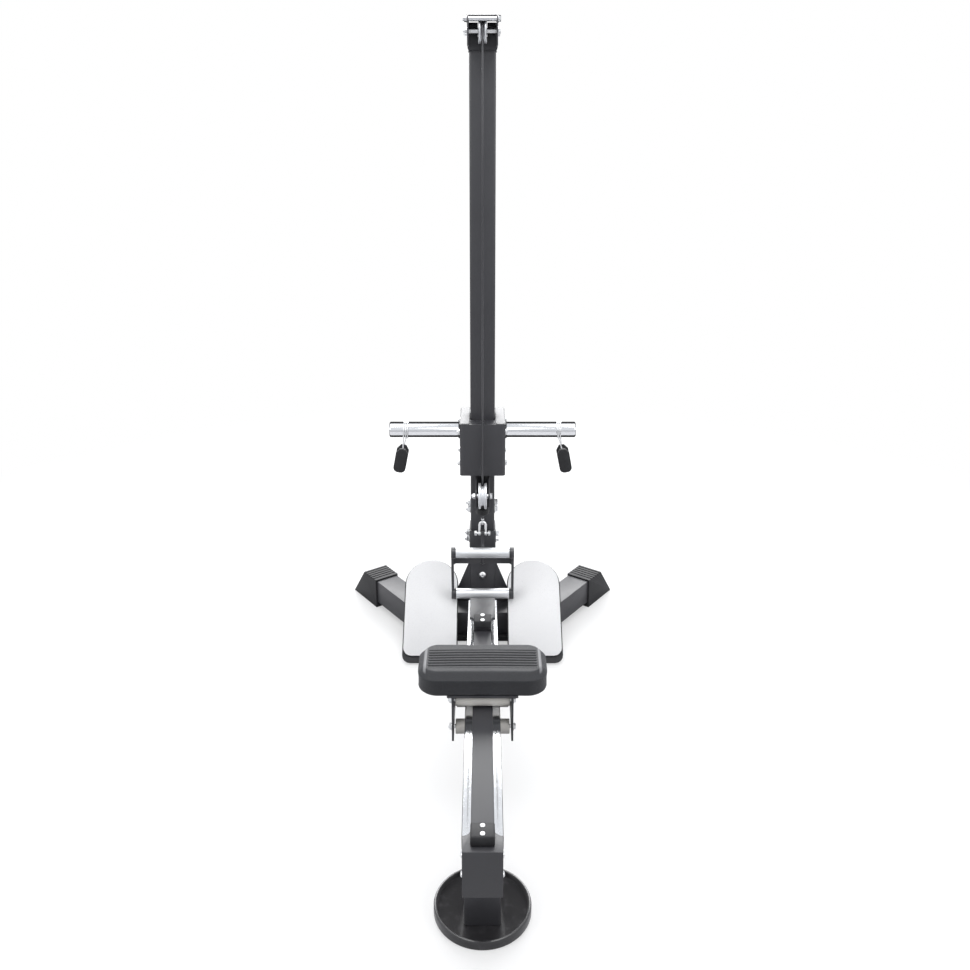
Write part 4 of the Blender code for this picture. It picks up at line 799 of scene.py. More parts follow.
def build_tower(width):
    softened("Tower post", "tower", 0.0010, ["coat"], "frame")
    softened("Tower socket", "tower_socket", width, ["coat"], "frame")
    softened("Top bracket", "top_bracket", 0.0007, ["coat"], "frame")
    low, high = TOWER_Y - TOWER_HALF - 0.001, TOWER_Y + TOWER_HALF + 0.001
    weld("Top weld", "frame", [square_round(low, high, 0.040, 1.8562)], 0.0016)
    front = TOWER_Y - SOCKET_HALF
    spots = []
    for z, size in ((0.197, 1.35), (0.244, 0.9)):
        spots.append(((0, front - 0.0002, z), (0, -1, 0), size))
    bolt_up("Socket front bolts", "frame", "dome", spots, seed=3)
    spots, nuts = [], []
    for z in (0.318, 0.340):
        spots.append(((SOCKET_HALF + 0.0002, TOWER_Y - 0.014, z), (1, 0, 0), 1.25))
        nuts.append(((-SOCKET_HALF - 0.0002, TOWER_Y - 0.014, z), (-1, 0, 0), 1.25))
    for z in (0.424, 0.447):
        spots.append(((TOWER_HALF + 0.0002, TOWER_Y - 0.014, z), (1, 0, 0), 1.25))
        nuts.append(((-TOWER_HALF - 0.0002, TOWER_Y - 0.014, z), (-1, 0, 0), 1.25))
    bolt_up("Tower side bolts", "frame", "hex", spots, seed=4)
    bolt_up("Tower side nuts", "frame", "nut", nuts, seed=5)


def cross_bolt(name, node, centre, body, inner, plate_out, wheel_half, look="zinc"):
    """An axle bolt: shank, spacers, washers, head at +X and locking nut at -X."""
    shape = bmesh.new()
    gap = 0.0003
    shank = [(0, -plate_out - 0.012), (0.0058, -plate_out - 0.012), (0.0060, -plate_out - 0.0114)]
    shank += [(0.0060, plate_out + gap), (0, plate_out + gap)]
    lathe(shape, shank, centre, "X", 32)
    for sign in (-1, 1):
        if sign > 0 or wheel_half:
            far = -inner + gap if not wheel_half else wheel_half + gap
            ends = sorted((sign * far, sign * (inner - gap)))
            lathe(
                shape,
                [(0.0061, ends[0]), (0.0074, ends[0]), (0.0074, ends[1]), (0.0061, ends[1])],
                centre,
                "X",
                32,
            )
        ends = sorted((sign * (plate_out + gap), sign * (plate_out + gap + 0.0016)))
        disc(shape, 0.0105, ends[0], ends[1], 0.0003, 0, centre, "X", 36)
    hexagon(shape, 0.0094, plate_out + 0.0020, plate_out + 0.0078, 0.0007, 0, centre, "X", 0.3)
    far_nut(shape, 0.0094, plate_out + 0.0020, plate_out + 0.0082, 0.0007, 0, centre, 0.8)
    obj = new_object(name, shape, [look])
    return dress(obj, body, [node])


def far_nut(shape, radius, low, high, chamfer, look, centre, spin):
    """A locking nut at the -X end of a bolt through centre."""
    nut = bmesh.new()
    hexagon(nut, radius, low, high, chamfer, look, (0, 0, 0), "X", spin)
    for vert in nut.verts:
        vert.co = Vector((-vert.co.x, vert.co.y, vert.co.z)) + Vector(centre)
    merge(shape, nut)


def merge(shape, other):
    """Adds another bmesh to a bmesh."""
    mesh = bpy.data.meshes.new("merged")
    other.to_mesh(mesh)
    other.free()
    shape.from_mesh(mesh)
    bpy.data.meshes.remove(mesh)


def wheel(name, node, centre, radius, pitch, half, body):
    """A turned aluminium pulley: lipped rims, a dished web, a raised hub and a bearing in it."""
    floor = pitch - 0.0033
    web = 0.45 * half
    hub = 0.36 * radius
    half_side = [
        (0.0063, half - 0.0004),
        (0.0098, half - 0.0004),
        (0.0102, half - 0.0014),
        (0.0108, half - 0.0014),
        (0.0112, half - 0.0002),
        (hub - 0.0006, half),
        (hub + 0.0006, half - 0.0006),
        (hub + 0.0022, web + 0.0004),
        (hub + 0.0036, web),
        (radius - 0.0102, web),
        (radius - 0.0094, web + 0.0006),
        (radius - 0.0084, half - 0.0005),
        (radius - 0.0076, half),
        (radius - 0.0012, half),
        (radius, half - 0.0012),
        (radius, 0.0070),
        (radius - 0.0010, 0.0058),
        (floor + 0.0020, 0.0044),
        (floor + 0.0008, 0.0038),
        (floor, 0.0026),
    ]
    shape = bmesh.new()
    lathe(shape, list(reversed(both_halves(half_side))), centre, "X", 96)
    obj = new_object(name, shape, ["silver"])
    return dress(obj, body, [node])


def build_pulleys():
    outer = SOCKET_HALF
    inner = TOWER_HALF + 0.0003
    for label in ("front", "rear"):
        node = f"top_{label}_pulley"
        centre = middle(node)
        wheel(f"Top {label} pulley", node, centre, *TOP_WHEEL, node)
        cross_bolt(f"Top {label} axle", f"top_{label}_axle", centre, "frame", inner, outer, TOP_WHEEL[2])
    centre = middle("top_tie_bar")
    cross_bolt("Top tie bar", "top_tie_bar", centre, "frame", inner, outer, 0.0, "chrome")
    centre = (0, LOW_Y, LOW_Z)
    wheel("Low pulley", "low_pulley", centre, *LOW_WHEEL, "low_pulley")
    cross_bolt("Low axle", "low_axle", centre, "frame", 0.0185, 0.0225, LOW_WHEEL[2])
    softened("Low bracket", "low_bracket", 0.0006, ["coat"], "frame")
    x = 0.0205
    chains = []
    for sign in (-1, 1):
        chains.append([(sign * (x + 0.0028), TOWER_Y - TOWER_HALF, z) for z in (0.498, 0.521, 0.544)])
    weld("Low bracket welds", "frame", chains, 0.0016)


# Cables


def rope(name, points, radius, sides=14):
    """A cable whose UV runs round it and, in metres, along it."""
    shape = bmesh.new()
    layer = shape.loops.layers.uv.new("UVMap")
    points = [Vector(point) for point in points]
    lengths = [0.0]
    for before, point in zip(points, points[1:]):
        lengths.append(lengths[-1] + (point - before).length)
    rings = tube_rings(shape, points, radius, sides, Vector((1, 0, 0)))
    for i in range(len(rings) - 1):
        for k in range(sides):
            j = (k + 1) % sides
            face = shape.faces.new((rings[i][k], rings[i][j], rings[i + 1][j], rings[i + 1][k]))
            spots = ((k, i), (k + 1, i), (k + 1, i + 1), (k, i + 1))
            for loop, (around, along) in zip(face.loops, spots):
                loop[layer].uv = (around / sides, lengths[along])
    shape.faces.new(list(reversed(rings[0])))
    shape.faces.new(rings[-1])
    return new_object(name, shape, ["cable_skin"], 50)


def straight(x, y, high, low, count):
    return [(x, y, high + (low - high) * i / count) for i in range(count + 1)]


def build_cables():
    radius = CABLE_RADIUS
    pitch = TOP_WHEEL[1]
    _x, near, top = middle("top_front_pulley")
    far = middle("top_rear_pulley")[1]
    front = straight(0, CABLE_Y, LOW_Z - 0.020, top - 0.004, 60)
    bend = arc((near, top), pitch, math.pi, math.pi / 2, 18)
    over = [(0, y, z) for y, z in bend]
    over += [(0, near + (far - near) * i / 8, top + pitch) for i in range(1, 8)]
    bend = arc((far, top), pitch, math.pi / 2, 0, 18)
    over += [(0, y, z) for y, z in bend]
    obj = rope("Front cable", front + over, radius)
    dress(obj, "frame", ["cable_front"])
    low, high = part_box("cable_rear")
    obj = rope("Rear cable", straight(0, REAR_CABLE_Y, high[2], low[2], 80), radius)
    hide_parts("cable_rear")
    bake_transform(obj)
    low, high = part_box("cable_lead")
    obj = rope("Pull cable", straight(0, CABLE_Y, LOW_Z - 0.0205, low[2], 40), 0.0028)
    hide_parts("cable_lead")
    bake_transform(obj)


# The carriage for the weights


def build_trolley():
    softened("Weight carriage", "trolley_sleeve", 0.0012, ["coat"], "trolley")
    softened("Cable anchor", "cable_anchor", 0.0007, ["zinc"], "trolley")
    cap_lid()
    for side, sign in (("left", -1), ("right", 1)):
        loading_bar(side, sign)
    for level, z in (("low", TROLLEY_LOW + GUIDE_INSET), ("high", TROLLEY_TOP - GUIDE_INSET)):
        for face, sign in (("front", -1), ("rear", 1)):
            node = f"guide_roller_{face}_{level}"
            centre = (0, TOWER_Y + sign * GUIDE_OUT, z)
            roller(f"Guide roller {face} {level}", node, centre, *GUIDE_ROLLER, "nylon", node)


def cap_lid():
    """Two pale strips on the carriage's lid, one on each side of the tower."""
    shape = bmesh.new()
    outer_x, outer_y = TROLLEY_X - 0.003, LID_HALF_DEPTH - 0.003
    slot = TOWER_HALF + 0.0035
    low, high = TROLLEY_TOP + 0.0003, TROLLEY_TOP + 0.0034
    for sign in (-1, 1):
        mid = sign * (slot + outer_x) / 2
        outline = rounded_box(outer_x - slot, 2 * outer_y, 0.006)
        place = Matrix.Translation((mid, TOWER_Y, 0))
        slab(shape, outline, low, high, place, 0.0008)
    obj = new_object("Carriage cap", shape, ["lid"])
    return dress(obj, "trolley", ())


def loading_bar(side, sign):
    """A chrome sleeve with a rolled tip, an end plug and a dark root flange."""
    root = TROLLEY_X + 0.0003
    tip = BAR_TIP
    centre = (0, TOWER_Y, BAR_Z)
    profile = [
        (0.022, root),
        (0.0285, root),
        (0.0289, root + 0.0006),
        (0.0285, root + 0.0044),
        (0.0278, root + 0.0050),
        (0.0256, root + 0.0052),
        (0.0250, root + 0.0062),
        (0.0250, tip - 0.0040),
        (0.0246, tip - 0.0022),
        (0.0236, tip - 0.0008),
        (0.0220, tip),
        (0.0206, tip - 0.0002),
        (0.0200, tip - 0.0012),
        (0.0196, tip - 0.0012),
        (0.0190, tip - 0.0004),
        (0.0170, tip - 0.0002),
        (0, tip - 0.0002),
    ]
    profile = [(0, root)] + profile
    profile = [(radius, sign * along) for radius, along in profile]
    shape = bmesh.new()
    lathe(shape, profile, centre, "X", 96)
    for face in shape.faces:
        if all(abs(vert.co.x) < root + 0.0053 for vert in face.verts):
            face.material_index = 1
    obj = new_object(f"Loading bar {side}", shape, ["chrome", "rubber"])
    return dress(obj, "trolley", [f"loading_bar_{side}"])


def roller(name, node, centre, radius, half, wall, look, body, look_bolt="zinc"):
    """A roller on a through bolt, with its head at +X and a locking nut at -X."""
    shape = bmesh.new()
    side = [
        (0.0052, half - 0.0004),
        (0.0080, half - 0.0004),
        (0.0084, half - 0.0012),
        (radius - 0.0050, half - 0.0012),
        (radius - 0.0040, half),
        (radius - 0.0016, half),
        (radius - 0.0005, half - 0.0006),
        (radius, half - 0.0018),
    ]
    lathe(shape, list(reversed(both_halves(side))), centre, "X", 64)
    shank = [(0, -wall - 0.009), (0.0046, -wall - 0.009), (0.0049, -wall - 0.0086)]
    shank += [(0.0049, wall + 0.0003), (0, wall + 0.0003)]
    lathe(shape, shank, centre, "X", 28, 1)
    for sign in (-1, 1):
        ends = sorted((sign * (wall + 0.0003), sign * (wall + 0.0018)))
        disc(shape, 0.0100, ends[0], ends[1], 0.0003, 1, centre, "X", 32)
    hexagon(shape, 0.0084, wall + 0.0019, wall + 0.0064, 0.0006, 1, centre, "X", 0.4)
    far_nut(shape, 0.0084, wall + 0.0019, wall + 0.0064, 0.0006, 1, centre, 0.1)
    obj = new_object(name, shape, [look, look_bolt])
    return dress(obj, body, [node])


# Spring collars


def build_collars():
    for side, sign in (("left", -1), ("right", 1)):
        points = collar_path(sign)
        node = f"collar_spring_{side}"
        wire(f"Collar spring {side}", f"collar_{side}", points, COLLAR_WIRE, "zinc", [node])
        for face in ("front", "rear"):
            node = f"collar_grip_{side}_{face}"
            name = f"Collar grip {side} {face}"
            softened(name, node, 0.0028, ["rubber"], f"collar_{side}", 4)


def collar_path(sign):
    """The spring's wire: up from one grip, two and a half turns round the bar, and down again."""
    ring = 0.025 + 0.0003 + 0.0021
    turns, pitch = 2.5, 0.006
    start = sign * COLLAR_X - turns * pitch / 2
    steps = 40
    coil = []
    count = round(turns * steps)
    for i in range(count + 1):
        angle = math.pi - TURN * i / steps
        x = start + pitch * i / steps
        coil.append((x, TOWER_Y + ring * math.cos(angle), BAR_Z + ring * math.sin(angle)))
    ends = []
    for top, facing in ((coil[0], -1), (coil[-1], 1)):
        x = sign * (COLLAR_X + COLLAR_LEG * math.tan(COLLAR_SPLAY))
        y = top[1] - facing * COLLAR_LEG * math.tan(COLLAR_SPREAD)
        ends.append(Vector((x, y, top[2] - 0.063)))
    first = [ends[0].lerp(Vector(coil[0]), i / 10) for i in range(10)]
    last = [Vector(coil[-1]).lerp(ends[1], i / 10) for i in range(1, 11)]
    return first + coil + last


# Handle


def build_handle():
    softened("Handle frame", "handle_frame", 0.0008, ["gloss_coat"], "handle")
    for level, y, z in GRIPS:
        grip(level, (0, y, z))
    cable_fittings()
    shape = bmesh.new()
    centre = (0, CABLE_Y, 0)
    profile = [
        (0.0034, 0.4415),
        (0.0088, 0.4415),
        (0.0110, 0.4422),
        (0.0188, 0.4472),
        (0.0195, 0.4488),
        (0.0195, 0.4560),
        (0.0189, 0.4566),
        (0.0189, 0.4574),
        (0.0195, 0.4580),
        (0.0195, 0.4622),
        (0.0186, 0.4640),
        (0.0130, 0.4716),
        (0.0112, 0.4726),
        (0.0034, 0.4727),
    ]
    lathe(shape, profile, centre, "Z", 64)
    obj = new_object("Cable bumper", shape, ["rubber"])
    dress(obj, "frame", ["cable_bumper"])


def grip(level, centre):
    """A satin tube with fine turned lines at its ends."""
    half = GRIP_HALF
    side = [(0, half), (0.0154, half), (0.0162, half - 0.0006), (0.0165, half - 0.0016)]
    for i in range(4):
        at = half - 0.0045 - 0.0022 * i
        side += [(0.0165, at + 0.0005), (0.0161, at), (0.0165, at - 0.0005)]
    shape = bmesh.new()
    lathe(shape, list(reversed(both_halves(side))), centre, "X", 80)
    obj = new_object(f"Grip {level}", shape, ["silver"])
    return dress(obj, "handle", [f"grip_{level}"])


def cable_fittings():
    """The swaged eye on the cable's end, and the shackle with its pin, head and nut."""
    shape = bmesh.new()
    eye = [(0.0046, -0.0030), (0.0094, -0.0030), (0.0100, -0.0024), (0.0100, 0.0024), (0.0094, 0.0030)]
    lathe(shape, eye + [(0.0046, 0.0030)], (0, CABLE_Y, EYE_Z), "X", 48)
    sleeve = [(0.0, 0.0086), (0.0045, 0.0086), (0.0050, 0.0092), (0.0050, 0.0114)]
    lathe(shape, sleeve + [(0.0044, 0.0120), (0, 0.0120)], (0, CABLE_Y, EYE_Z), "Z", 32)
    obj = new_object("Cable eye", shape, ["zinc"])
    dress(obj, "cable_end", ["cable_end"])
    shape = bmesh.new()
    bend = PIN_Z + 0.0295
    bow = [(x, CABLE_Y, z) for x, z in arc((0, bend), 0.00975, 0, math.pi, 28)]
    leg = [(0.00975, CABLE_Y, PIN_Z + (bend - PIN_Z) * i / 8) for i in range(8)]
    back = [(-x, y, z) for x, y, z in reversed(leg)]
    sweep(shape, leg + bow + back, 0.0035, 20)
    centre = (0, CABLE_Y, PIN_Z)
    for sign in (-1, 1):
        ends = sorted((sign * 0.0060, sign * 0.0135))
        disc(shape, 0.0076, ends[0], ends[1], 0.0009, 0, centre, "X", 40)
    pin = [(0, -0.025), (0.0033, -0.025), (0.0035, -0.0245), (0.0035, 0.025), (0, 0.025)]
    lathe(shape, pin, centre, "X", 24)
    disc(shape, 0.0085, 0.0180, 0.0212, 0.0008, 0, centre, "X", 36)
    hexagon(shape, 0.0078, 0.0213, 0.0248, 0.0006, 0, centre, "X", 0.2)
    far_nut(shape, 0.0086, 0.0180, 0.0256, 0.0007, 0, centre, 0.6)
    obj = new_object("Shackle", shape, ["zinc"])
    dress(obj, "cable_end", ["shackle"])


# Rail, stops and foot disc


def build_rail():
    softened("Rail", "rail", 0.0010, ["coat"], "frame")
    for side in ("left", "right"):
        softened(f"Rail strip {side}", f"rail_strip_{side}", 0.0004, ["strip_chrome"], "frame")
    pairs = (
        ("rear_bracket", "Rear bracket"),
        ("rear_post", "Rear post"),
        ("front_bracket", "Front bracket"),
        ("front_post", "Front post"),
    )
    softened_all(pairs, 0.0008, "coat", "frame")
    softened("Rear stop", "rear_stop", 0.0018, ["rubber"], "frame", 4)
    softened("Front stop", "front_stop", 0.0018, ["rubber"], "frame", 4)
    foot_disc()
    low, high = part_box("rear_stop")
    spots = []
    for y in (low[1] + 0.010, high[1] - 0.010):
        spots.append(((0, y, high[2] + 0.0001), (0, 0, 1), 0.85))
    low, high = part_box("front_stop")
    for y in (low[1] + 0.0075, high[1] - 0.0075):
        spots.append(((0, y, high[2] + 0.0001), (0, 0, 1), 1.0))
    bolt_up("Stop screws", "frame", "screw", spots, seed=7)
    low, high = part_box("rear_bracket")
    spots = []
    for sign in (-1, 1):
        for z in (0.214, 0.262):
            spots.append(((sign * (high[0] + 0.0001), low[1] + 0.024, z), (sign, 0, 0), 0.72))
    bolt_up("Rear bracket bolts", "frame", "dome", spots, seed=9)


def foot_disc():
    """The floor disc: gloss enamel and a raised rolled lip."""
    low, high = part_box("rear_disc")
    radius = (high[0] - low[0]) / 2
    y = (low[1] + high[1]) / 2
    lip = high[2]
    floor = DISC_FLOOR
    profile = [
        (0, 0.0),
        (radius - 0.0020, 0.0),
        (radius - 0.0006, 0.0006),
        (radius, 0.0022),
        (radius, lip - 0.0030),
        (radius - 0.0008, lip - 0.0010),
        (radius - 0.0024, lip),
        (radius - 0.0046, lip),
        (radius - 0.0062, lip - 0.0012),
        (radius - 0.0068, lip - 0.0032),
        (radius - 0.0072, floor + 0.0022),
        (radius - 0.0082, floor + 0.0006),
        (radius - 0.0100, floor),
        (0, floor),
    ]
    shape = bmesh.new()
    lathe(shape, profile, (0, y, 0), "Z", 160)
    obj = new_object("Foot disc", shape, ["gloss_black"])
    dress(obj, "frame", ["rear_disc"])


# Foot plates


def build_feet():
    spots = []
    for side, sign in (("left", -1), ("right", 1)):
        softened(f"Foot bracket {side}", f"foot_bracket_{side}", 0.0006, ["coat"], "frame")
        softened(f"Foot plate {side}", f"foot_plate_{side}", 0.0009, ["rubber"], "frame")
        looks = ["white_pad", "rubber"]
        pad = softened(f"Foot pad {side}", f"foot_pad_{side}", 0.0012, looks, "frame")
        for polygon in pad.data.polygons:
            polygon.material_index = 0 if polygon.normal.z > 0.7 else 1
        hub = Vector((sign * FOOT_PLACE[0], FOOT_PLACE[1], FOOT_PLACE[2]))
        for part in (-1, 1):
            place = hub + Vector((part * 0.0322, 0.030, -0.044))
            spots.append((tuple(place), (part, 0, 0), 0.9))
    bolt_up("Foot web bolts", "frame", "dome", spots, seed=11)


# Seat


def build_seat():
    cushion()
    softened("Seat carriage", "seat_carriage", 0.0010, ["coat"], "seat")
    for end, sign in (("rear", -1), ("front", 1)):
        y = SEAT_Y + sign * SEAT_ROLLER_Y
        for level, z, radius in SEAT_ROLLERS:
            node = f"seat_roller_{end}_{level}"
            roller(f"Seat roller {end} {level}", node, (0, y, z), radius, 0.067, 0.076, "nylon", node)


def seat_rows(half, roll, count):
    """Positions from -half to half, closely spaced over the rolled edges."""
    edge = [half - roll * (1 - math.cos(math.pi / 2 * i / 9)) for i in range(9)]
    inner = half - roll
    flat = [-inner + 2 * inner * i / count for i in range(count + 1)]
    return [-place for place in edge] + flat + list(reversed(edge))


def seat_spot(x, y, half_x, half_y, corner):
    """A point of a rectangle's grid moved to a rectangle with round corners, and its depth inside."""
    cx, cy = half_x - corner, half_y - corner
    over_x, over_y = abs(x) - cx, abs(y) - cy
    if over_x > 0 and over_y > 0:
        a, b = over_x / corner, over_y / corner
        across = a * math.sqrt(1 - b * b / 2) * corner
        along = b * math.sqrt(1 - a * a / 2) * corner
        x = math.copysign(cx + across, x)
        y = math.copysign(cy + along, y)
        return x, y, corner - math.hypot(across, along)
    return x, y, min(half_x - abs(x), half_y - abs(y))


def seat_swell(x, y):
    """Height of the padding over the seat's rim: crown, ribbed panel, puckers and creases."""
    crown = 0.0022 * max(0.0, 1 - (x / 0.161) ** 2) * max(0.0, 1 - (y / 0.077) ** 2)
    along = y - PANEL_MID
    inside = min(PANEL_X - abs(x), PANEL_Y - abs(along))
    share = min(1.0, max(0.0, inside / 0.004))
    share = share * share * (3 - 2 * share)
    channel = abs(math.sin(math.pi * CHANNELS * (along + PANEL_Y) / (2 * PANEL_Y)))
    puff = (0.0044 * channel**0.5 - 0.0050) * share
    pucker = 0.0002 * math.sin(x * 900) * math.exp(-(((abs(along) - PANEL_Y) / 0.005) ** 2))
    crease = 0.0004 * noise.noise(Vector((x * 17, y * 22, 3.1)))
    crease += 0.0002 * noise.noise(Vector((x * 70, y * 55, 8.4)))
    return crown + puff + pucker + crease


def cushion():
    """The upholstered seat: a fine grid over the top, drawn-in sides and a flat sole."""
    low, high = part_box("seat_pad")
    half_x, half_y, corner, roll, fall = CUSHION
    base, top = low[2], SEAT_TOP
    shape = bmesh.new()
    columns = seat_rows(half_x, roll, 130)
    rows = seat_rows(half_y, roll, 128)
    grid = []
    for y in rows:
        line = []
        for x in columns:
            px, py, depth = seat_spot(x, y, half_x, half_y, corner)
            depth = max(0.0, depth)
            slope = 1 - depth / roll
            drop = fall * (slope + math.sqrt(slope * slope + 0.012)) / 2
            fade = min(1.0, depth / roll)
            z = top - drop + seat_swell(px, py) * fade
            line.append(shape.verts.new((px, SEAT_Y + py, z)))
        grid.append(line)
    for j in range(len(rows) - 1):
        for i in range(len(columns) - 1):
            shape.faces.new((grid[j][i], grid[j][i + 1], grid[j + 1][i + 1], grid[j + 1][i]))
    rim = grid[0][:] + [line[-1] for line in grid[1:]]
    rim += list(reversed(grid[-1][:-1])) + [line[0] for line in reversed(grid[1:-1])]
    previous = rim
    levels = 14
    start = rim[0].co.z
    for k in range(1, levels + 1):
        share = k / levels
        inset = 0.0012 * math.sin(math.pi * share) + 0.005 * max(0.0, (share - 0.85) / 0.15) ** 2
        ring = []
        for vert in rim:
            x, y = vert.co.x, vert.co.y - SEAT_Y
            length = math.hypot(x, y)
            tug = 0.0005 * share * noise.noise(Vector((x * 30, y * 30, share * 3)))
            scale = 1 - (inset + tug) / length
            ring.append(shape.verts.new((x * scale, SEAT_Y + y * scale, start + (base - start) * share)))
        for i in range(len(rim)):
            j = (i + 1) % len(rim)
            shape.faces.new((previous[i], ring[i], ring[j], previous[j]))
        previous = ring
    shape.faces.new(previous)
    obj = new_object("Seat cushion", shape, ["vinyl"], 70)
    dress(obj, "seat", ["seat_pad"])


# Floor, light and camera


def area_light(name, place, aim, size, power):
    data = bpy.data.lights.new(name, "AREA")
    data.shape = "RECTANGLE"
    data.size, data.size_y = size
    data.energy = power
    lamp = bpy.data.objects.new(name, data)
    lamp.location = place
    lamp.visible_camera = False
    lamp.rotation_euler = (Vector(aim) - Vector(place)).to_track_quat("-Z", "Y").to_euler()
    bpy.context.scene.collection.objects.link(lamp)


def build_world(level):
    """White to the camera, a cool and dimmer white in reflections, and the level given as light."""
    world = bpy.data.worlds.new("studio")
    bpy.context.scene.world = world
    world.use_nodes = True
    tree = world.node_tree
    tree.nodes.clear()
    path = tree.nodes.new("ShaderNodeLightPath")
    shine = tree.nodes.new("ShaderNodeBackground")
    shine.inputs["Color"].default_value = (0.95, 0.97, 1.0, 1)
    shine.inputs["Strength"].default_value = 0.9
    lit = tree.nodes.new("ShaderNodeBackground")
    lit.inputs["Color"].default_value = (0.93, 0.95, 1.0, 1)
    lit.inputs["Strength"].default_value = level
    white = tree.nodes.new("ShaderNodeBackground")
    white.inputs["Color"].default_value = (1, 1, 1, 1)
    white.inputs["Strength"].default_value = 1.0
    ground = tree.nodes.new("ShaderNodeMixShader")
    tree.links.new(path.outputs["Is Glossy Ray"], ground.inputs[0])
    tree.links.new(lit.outputs[0], ground.inputs[1])
    tree.links.new(shine.outputs[0], ground.inputs[2])
    mix = tree.nodes.new("ShaderNodeMixShader")
    out = tree.nodes.new("ShaderNodeOutputWorld")
    tree.links.new(path.outputs["Is Camera Ray"], mix.inputs[0])
    tree.links.new(ground.outputs[0], mix.inputs[1])
    tree.links.new(white.outputs[0], mix.inputs[2])
    tree.links.new(mix.outputs[0], out.inputs["Surface"])


def build_floor(share):
    """A floor pale to the camera, unshaded far off, mid grey in reflections and dark as a bounce."""
    look = Look("floor", (0.86, 0.86, 0.86), 0.9)
    look.give("Specular IOR Level", 0.0)
    seen = look.node("ShaderNodeLightPath", out="Is Camera Ray")
    mirrored = look.node("ShaderNodeLightPath", out="Is Glossy Ray")
    light = look.mix(mirrored, (0.20, 0.20, 0.21), (0.60, 0.60, 0.61))
    look.give("Base Color", look.mix(seen, light, (0.90, 0.90, 0.90)))
    place = look.node("ShaderNodeTexCoord", out="Object")
    away = look.node("ShaderNodeVectorMath", {"operation": "LENGTH"}, {0: place}, "Value")
    lift = seen * away.band(1.3, 3.0).larger(share)
    glow = look.node("ShaderNodeEmission", None, {"Color": (1, 1, 1, 1), "Strength": 1.0})
    shader = Wire(look, look.shader.outputs[0])
    mixed = look.node("ShaderNodeMixShader", None, {0: lift, 1: shader, 2: glow})
    look.join(mixed, look.tree.nodes["Material Output"].inputs["Surface"])
    mesh = bpy.data.meshes.new("floor")
    mesh.from_pydata([(-30, -30, 0), (30, -30, 0), (30, 30, 0), (-30, 30, 0)], [], [(0, 1, 2, 3)])
    mesh.materials.append(look.material)
    floor = bpy.data.objects.new("floor", mesh)
    floor.location = (0, 0, -0.0006)
    bpy.context.scene.collection.objects.link(floor)


def build_camera():
    """The photograph's view: level along +Y from behind the seat, 16 degrees down."""
    data = bpy.data.cameras.new("camera")
    data.sensor_width = 36
    data.lens = 36.30
    data.shift_x = 0.0025
    data.shift_y = -0.1134
    data.clip_start = 0.05
    camera = bpy.data.objects.new("camera", data)
    camera.location = (0, -2.438, 1.735)
    camera.rotation_euler = (math.radians(90 - 15.97), 0, 0)
    bpy.context.scene.collection.objects.link(camera)
    bpy.context.scene.camera = camera


# The add-on: sizes and colours, one operator a group, and a panel


def length(label, tells, value):
    return FloatProperty(
        name=label, description=tells, default=value, min=0.0, unit="LENGTH", precision=4
    )


def tint(label, tells, value):
    return FloatVectorProperty(
        name=label, description=tells, default=value, size=3, min=0.0, max=1.0, subtype="COLOR"
    )


def share(label, tells, value):
    return FloatProperty(
        name=label, description=tells, default=value, min=0.0, max=1.0, subtype="FACTOR"
    )


class ROWER_PG_finishes(bpy.types.PropertyGroup):
    """Colours and roughness of the finishes."""

    coat: tint("Coat", "Powder coat on the steel", (0.040, 0.040, 0.045))
    coat_roughness: share("Coat roughness", "How matte the powder coat is", 0.42)
    chrome: tint("Chrome", "Bars and rail strips", (0.80, 0.81, 0.83))
    zinc: tint("Zinc", "Fasteners, springs and shackle", (0.88, 0.885, 0.89))
    silver: tint("Silver", "Pulleys and grips", (0.83, 0.84, 0.86))
    rubber: tint("Rubber", "Boots, stops and collar grips", (0.022, 0.022, 0.024))
    vinyl: tint("Vinyl", "Seat cover", (0.038, 0.039, 0.043))
    pad: tint("Foot pads", "Speckled foot pads and carriage cap", (0.86, 0.86, 0.865))
    nylon: tint("Nylon", "Rollers", (0.62, 0.60, 0.56))
    gloss: tint("Gloss black", "Foot disc", (0.026, 0.025, 0.027))


class ROWER_PG_sizes(bpy.types.PropertyGroup):
    """Edge widths and stage levels."""

    boot_edge: length("Boot edge", "Rounding of the boots' ribs", 0.0018)
    socket_edge: length("Socket edge", "Rounding of the socket's plates", 0.0008)
    world: FloatProperty(
        name="World light", description="Level of the grey surround", default=0.45, min=0.0
    )
    floor: share("Floor lift", "How far the floor is lifted to white for the camera", 0.45)


class Step:
    """What the operators share."""

    bl_options = {"REGISTER", "UNDO"}

    def execute(self, context):
        self.build(context.scene.rower_finishes, context.scene.rower_sizes)
        return {"FINISHED"}


